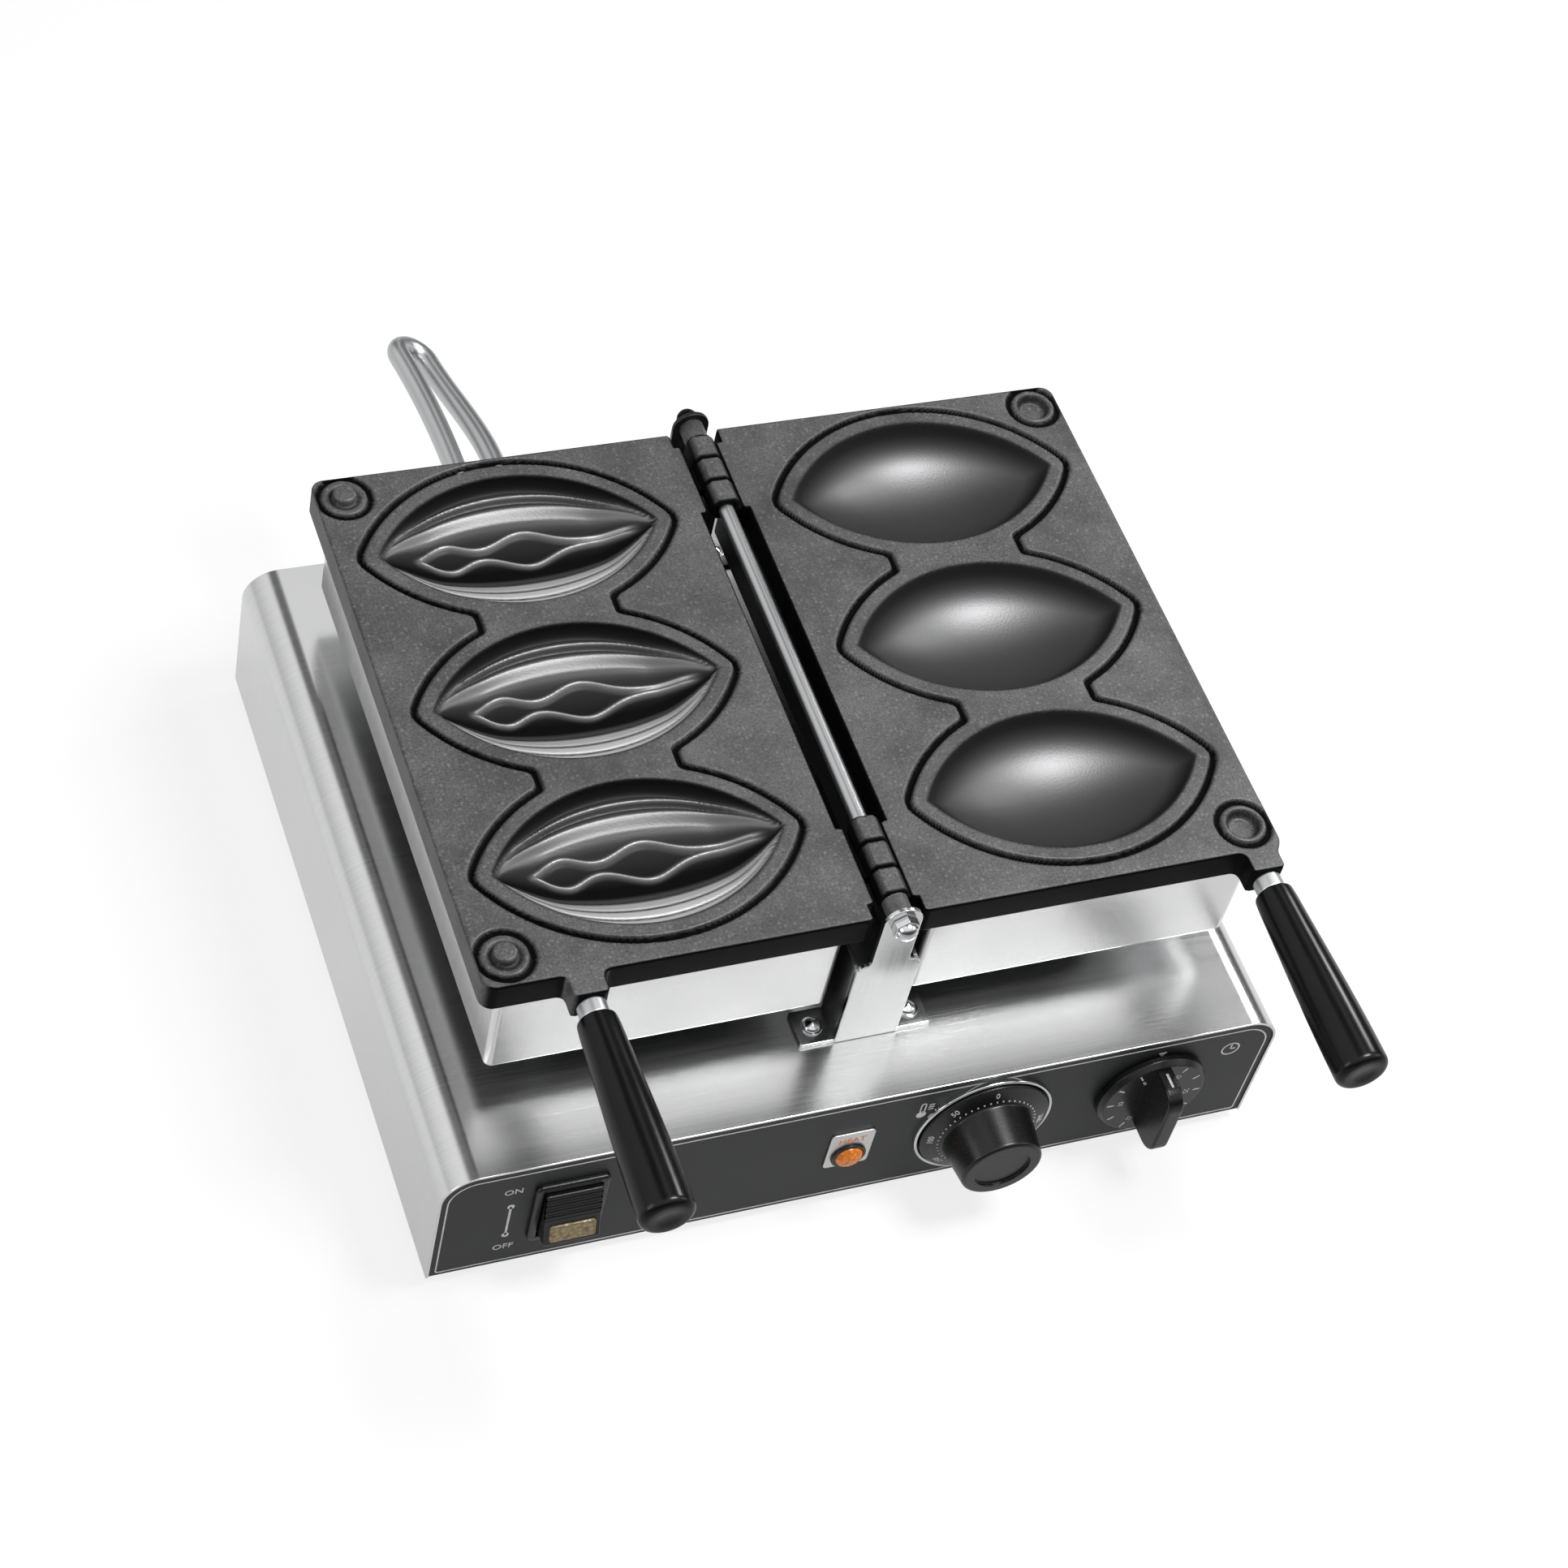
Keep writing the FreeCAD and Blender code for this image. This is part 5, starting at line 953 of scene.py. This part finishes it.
# Heating leaves a dark brown scale on the tube, and the mat is white, matt and fluffy.
tube_steel = mottled("oxidised_heater_tube", ("ShaderNodeTexNoise", {"Scale": 180.0, "Detail": 4.0}),
                     "#3c3936", "#5d5853", {"Metallic": 0.8, "Roughness": 0.5})
dress(tube_steel, "left_heating_element", "right_heating_element")
fibre = mottled("ceramic_fibre_mat", ("ShaderNodeTexNoise", {"Scale": 400.0, "Detail": 5.0}),
                "#cfcbc2", "#efece5", {"Roughness": 0.95}, bump=(0.6, 0.001))
dress(fibre, "left_insulation_mat", "right_insulation_mat")

# Handles: a steel stud in each plate's ear, a satin steel ferrule and a tapered grip moulded of black
# Bakelite, whose glossy skin carries one long highlight.
# Flow marks run along the grip; they are about 2 mm wide and only just show.
bakelite = mottled("moulded_black_bakelite", ("ShaderNodeTexNoise", {"Scale": 1.0, "Detail": 2.0}),
                   "#050505", "#0d0d0e", {"Specular IOR Level": 0.25}, rough=(0.2, 0.26),
                   stretch=(500.0, 40.0, 500.0))
ferrule_radius, ferrule_length = 7.4, 9.0
grip_length, grip_neck, grip_end, grip_round = 110.0, 10.2, 13.8, 4.0
grip_low, grip_high = ferrule_length + 0.1, ferrule_length + grip_length
ferrule = rounded(oblong((0, ferrule_radius), (0, ferrule_length)), (0, 1.4, 1.4, 0), 6, closed=False)
share = np.linspace(0.06, 0.96, 24)
swell = np.stack((grip_neck + (grip_end - grip_neck) * np.sin(share * math.pi / 2) ** 1.25,
                  ferrule_length + grip_length * share), 1)
end_turn = np.linspace(0, math.pi / 2, 9)
end_round = np.stack((grip_end - grip_round + grip_round * np.cos(end_turn),
                      grip_high - grip_round + grip_round * np.sin(end_turn)), 1)
start_round = rounded([(0, grip_low), (grip_neck - 0.4, grip_low), tuple(swell[0])], (0, 1.6, 0), 6,
                      closed=False)[:-1]
hollow = [(6.5, grip_high - 0.02), (5.5, grip_high - 0.7), (0, grip_high - 0.9)]
grip = np.concatenate((start_round, swell, end_round[1:], hollow))
for name, x in handle_xs.items():
    mouth = (x, ear_end, loop_z)
    piece(name + "_ferrule", [lathe(ferrule, mouth, forward, 48)], satin, name + "_plate",
          "polished_steel", name + "_handle_ferrule")
    piece(name + "_grip", [lathe(grip, mouth, forward, 64)], bakelite, name + "_plate",
          "black_bakelite", name + "_handle_grip")
dress(bright, "left_handle_stud", "right_handle_stud")

# Rocker switch: a moulded black frame snapped into the panel, a ribbed button that tilts in it and a
# smoky amber lens let into the button's lower end.
# The mould's spark texture is about 0.1 mm; it is drawn at 0.4 mm so that it shows.
plastic = mottled("moulded_black_polyamide", ("ShaderNodeTexNoise", {"Scale": 2500.0, "Detail": 1.0}),
                  "#080808", "#121213", {"Specular IOR Level": 0.4}, rough=(0.24, 0.34), bump=(0.1, 0.0002))
dress(plastic, "indicator_lamp", "thermostat_body", "timer_body", "terminal_block", "mains_entry_nut")
switch_x, control_z, frame_half, frame_tall = -157.0, 51.0, 19.0, 24.0


def looped(outline):
    """Closed outline as a profile that ends where it starts."""
    return np.concatenate((outline, outline[:1]))


frame_outline = rounded(oblong((control_z - frame_tall, control_z + frame_tall),
                               (switch_x - frame_half, switch_x + frame_half)), 3.0, 6)
frame_profile = rounded([(0, panel), (0, panel - 3), (4.2, panel - 3), (4.2, panel + 18), (2.6, panel + 18),
                         (2.6, panel)], (0.1, 1.6, 0.8, 0.3, 0.3, 0.1), 5)
piece("switch_frame", [shell(frame_outline, looped(frame_profile), "y", capped=False)], plastic, "base",
      "black_plastic", "switch_body")
pivot = np.array((switch_x, -183.25, control_z))
tilt = math.radians(-12.0)
lean_over = np.array([(1, 0, 0), (0, math.cos(tilt), math.sin(tilt)), (0, -math.sin(tilt), math.cos(tilt))])
tall, wide, skin, turned_in, rib_pitch, rib_height = 17.4, 14.5, -14.0, 1.4, 4.2, 1.3
z = np.linspace(-tall, tall, 140)
hollowed = 0.9 * np.cos(z / tall * math.pi / 2)
rounded_off = 1.3 * np.clip((np.abs(z) - tall + turned_in) / turned_in, 0, 1) ** 2
ribs = ease(-1.0, 0.4, z) * ease(16.4, 15.2, z) * (0.5 - 0.5 * np.cos(2 * math.pi * (z + 0.6) / rib_pitch))
button_face = np.stack((skin + hollowed + rounded_off + rib_height * ribs, z), 1)
button = np.concatenate((button_face, [(2.8, tall), (2.8, -tall)]))
points, faces = shell(button, rim(-wide, wide, 0.9, 4), "x")
piece("ribbed_rocker", [(points @ lean_over + pivot, faces)], plastic, "rocker", "black_plastic",
      "rocker_button")
# Small moulded prisms behind the lens break up what shows through it; they are about 2 mm wide.
smoky = mottled("smoky_amber_polycarbonate", ("ShaderNodeTexVoronoi", {"Scale": 420.0}), "#a58f5f", "#4f4530",
                {"Roughness": 0.12, "IOR": 1.58, "Transmission Weight": 0.25}, bump=(0.35, 0.0006))
window = rounded(oblong((-14.9, -3.9), (-12.0, 12.0)), 1.6, 5)
points, faces = shell(window, rim(-14.6, -11.0, 1.1, 5), "y")
piece("rocker_window", [(points @ lean_over + pivot, faces)], smoky, "rocker", "amber_lens", "rocker_lens")

# Heat indicator: a small brushed aluminium plate on the panel, a dark collar and an orange dome that
# the lamp behind shines through.
label = grained("brushed_aluminium_label", (30.0, 30.0, 1400.0), "#c4c4c2", "#dededc", 0.3, 0.42)
lamp_x, lamp_z, label_z, label_half, word_z = -8.5, 46.0, (36.5, 65.5), 12.0, 59.0
card = rounded(oblong(label_z, (lamp_x - label_half, lamp_x + label_half)), 2.2, 6)
piece("heat_label", [shell(card, rim(panel - 1.2, panel, 0.35, 4), "y")], label, "base", "label_plate",
      "indicator_plate")
orange_ink = mottled("orange_printed_ink", ("ShaderNodeTexNoise", {"Scale": 300.0, "Detail": 2.0}),
                     "#b06a34", "#cd8750", {"Roughness": 0.5})
word = lettering("HEAT", 6.0, (lamp_x, panel - 1.25, word_z), across, upward)
piece("heat_word", [word], orange_ink, "base", "label_plate")
collar = rounded([(9.4, 1.0), (9.4, 2.6), (7.5, 2.6), (7.5, 1.0)], 0.5, 4)
piece("lamp_collar", [lathe(looped(collar), (lamp_x, panel, lamp_z), forward, 48)], plastic, "base",
      "black_plastic")
# Facets inside the lens, about 2 mm wide, spread the lamp's light.
amber = mottled("orange_acrylic_lens", ("ShaderNodeTexVoronoi", {"Scale": 480.0}), "#f0912f", "#b4560f",
                {"Roughness": 0.14, "IOR": 1.49, "Transmission Weight": 0.15}, bump=(0.3, 0.0005))
lens_radius, lens_back, lens_side, lens_crown = 7.4, -2.0, 2.2, 4.0
dome_angle = np.linspace(0, math.pi / 2, 12)
lens_dome = np.stack((lens_radius * np.cos(dome_angle), lens_side + lens_crown * np.sin(dome_angle)), 1)
lens_dome = np.concatenate(([(0, lens_back), (lens_radius, lens_back)], lens_dome))
piece("heat_lens", [lathe(lens_dome, (lamp_x, panel, lamp_z), forward, 48)], amber, "base", "amber_lens",
      "indicator_lens")

# Temperature control: a moulded black knob on a conical dial with printed figures, inside a polished
# steel rim pressed onto the panel. It sits on the thermostat's shaft.
knob_x, knob_y = 64.5, panel - 1.2
dial_radius, dial_edge, grip_foot, dial_top = 35.0, 3.0, 24.5, 6.0
knob = rounded([(0, 0), (dial_radius, 0), (dial_radius, dial_edge), (grip_foot, dial_top), (21.5, 29.0),
                (15.0, 29.0), (15.0, 27.4), (0, 27.4)], (0, 0.4, 0.9, 2.0, 2.2, 0.5, 0.4, 0), 8, closed=False)
piece("temperature_knob", [lathe(knob, (knob_x, knob_y, control_z), forward, 96)], plastic, "thermostat_dial",
      "black_plastic", "thermostat_knob")


def on_dial(angle, radius, height, lift):
    """Place, right and up vectors of a mark at an angle clockwise from the top of a dial's face.

    lift is how much the face rises along the axis for each millimetre towards the middle."""
    outward = np.array((math.sin(angle), 0.0, math.cos(angle)))
    fall = np.array((0.0, lift, 0.0)) + outward
    place = outward * radius + np.array(forward) * height
    return place, np.array((math.cos(angle), 0.0, -math.sin(angle))), fall / np.linalg.norm(fall)


knob_centre = np.array((knob_x, knob_y, control_z))
dial_slope = (dial_top - dial_edge) / (dial_radius - grip_foot)
figure_radius, figure_height, dot_radius, dot_height = 30.2, 4.39, 26.4, 5.46
figures = []
for i in range(7):
    place, right, up = on_dial(math.radians(-45.0 * i), figure_radius, figure_height, dial_slope)
    figures.append(lettering(str(50 * i), 4.6, knob_centre + place, right, up))
speck_form = oblong((0, 0.5), (-0.3, 0.16))
for i in range(49):
    place, right, up = on_dial(math.radians(-7.5 * i + 45.0), dot_radius, dot_height, dial_slope)
    figures.append(lathe(speck_form, knob_centre + place, np.cross(right, up), 8))
piece("temperature_figures", figures, ink, "thermostat_dial", "label_plate")
steel_ring = rounded([(35.6, -0.02), (35.6, 3.0), (37.6, 3.0), (37.6, -0.02)], (0.1, 0.9, 0.9, 0.1), 6)
piece("temperature_rim", [lathe(looped(steel_ring), (knob_x, panel, control_z), forward, 96)], bright,
      "base", "polished_steel", "thermostat_rim")

# Timer: a flat black dial with ticks and a bar across it to turn it by, on the shaft of a clockwork
# timer. A light line on the bar's upper end points at the figures.
disc_height, bar_half, bar_width = 6.0, 25.0, 4.5
disc = rounded([(0, 0), (30.0, 0), (30.0, 3.0), (28.0, disc_height), (0, disc_height)],
               (0, 0.4, 1.0, 0.8, 0), 6, closed=False)
bar = rounded(oblong((knob_y - 3.0, knob_y - 26.0), (-bar_half, bar_half)), (0.2, 10.0, 10.0, 0.2), 9)
timer = [lathe(disc, (timer_x, knob_y, control_z), forward, 80),
         shell(bar + (0, control_z), rim(timer_x - bar_width, timer_x + bar_width, 1.6, 5), "x")]
piece("timer_dial_and_bar", timer, plastic, "timer_dial", "black_plastic", "timer_knob")
timer_centre = np.array((timer_x, knob_y, control_z))
tick = oblong((-0.45, 0.45), (-2.0, 2.0))
ticks = []
for i in range(1, 12):
    angle = math.radians(-30.0 * i)
    place, right, up = on_dial(angle, 24.6, disc_height, 0.0)
    points, faces = shell(tick, [(0, -0.05), (0, 0.14)])
    ticks.append((timer_centre + place + points @ np.stack((right, up, np.cross(right, up))), faces))
    if i % 2 == 1:
        place, right, up = on_dial(angle, 18.6, disc_height + 0.05, 0.0)
        ticks.append(lettering(str(5 * (i + 1) // 2), 4.4, timer_centre + place, right, up))
stripe = oblong((knob_y - 8.0, knob_y - 16.5), (timer_x - 0.7, timer_x + 0.7))[:, ::-1]
ticks.append(shell(stripe, [(0, control_z + bar_half - 0.1), (0, control_z + bar_half + 0.1)]))
piece("timer_figures", ticks, ink, "timer_dial", "label_plate")
dress(bright, "thermostat_shaft", "timer_shaft")
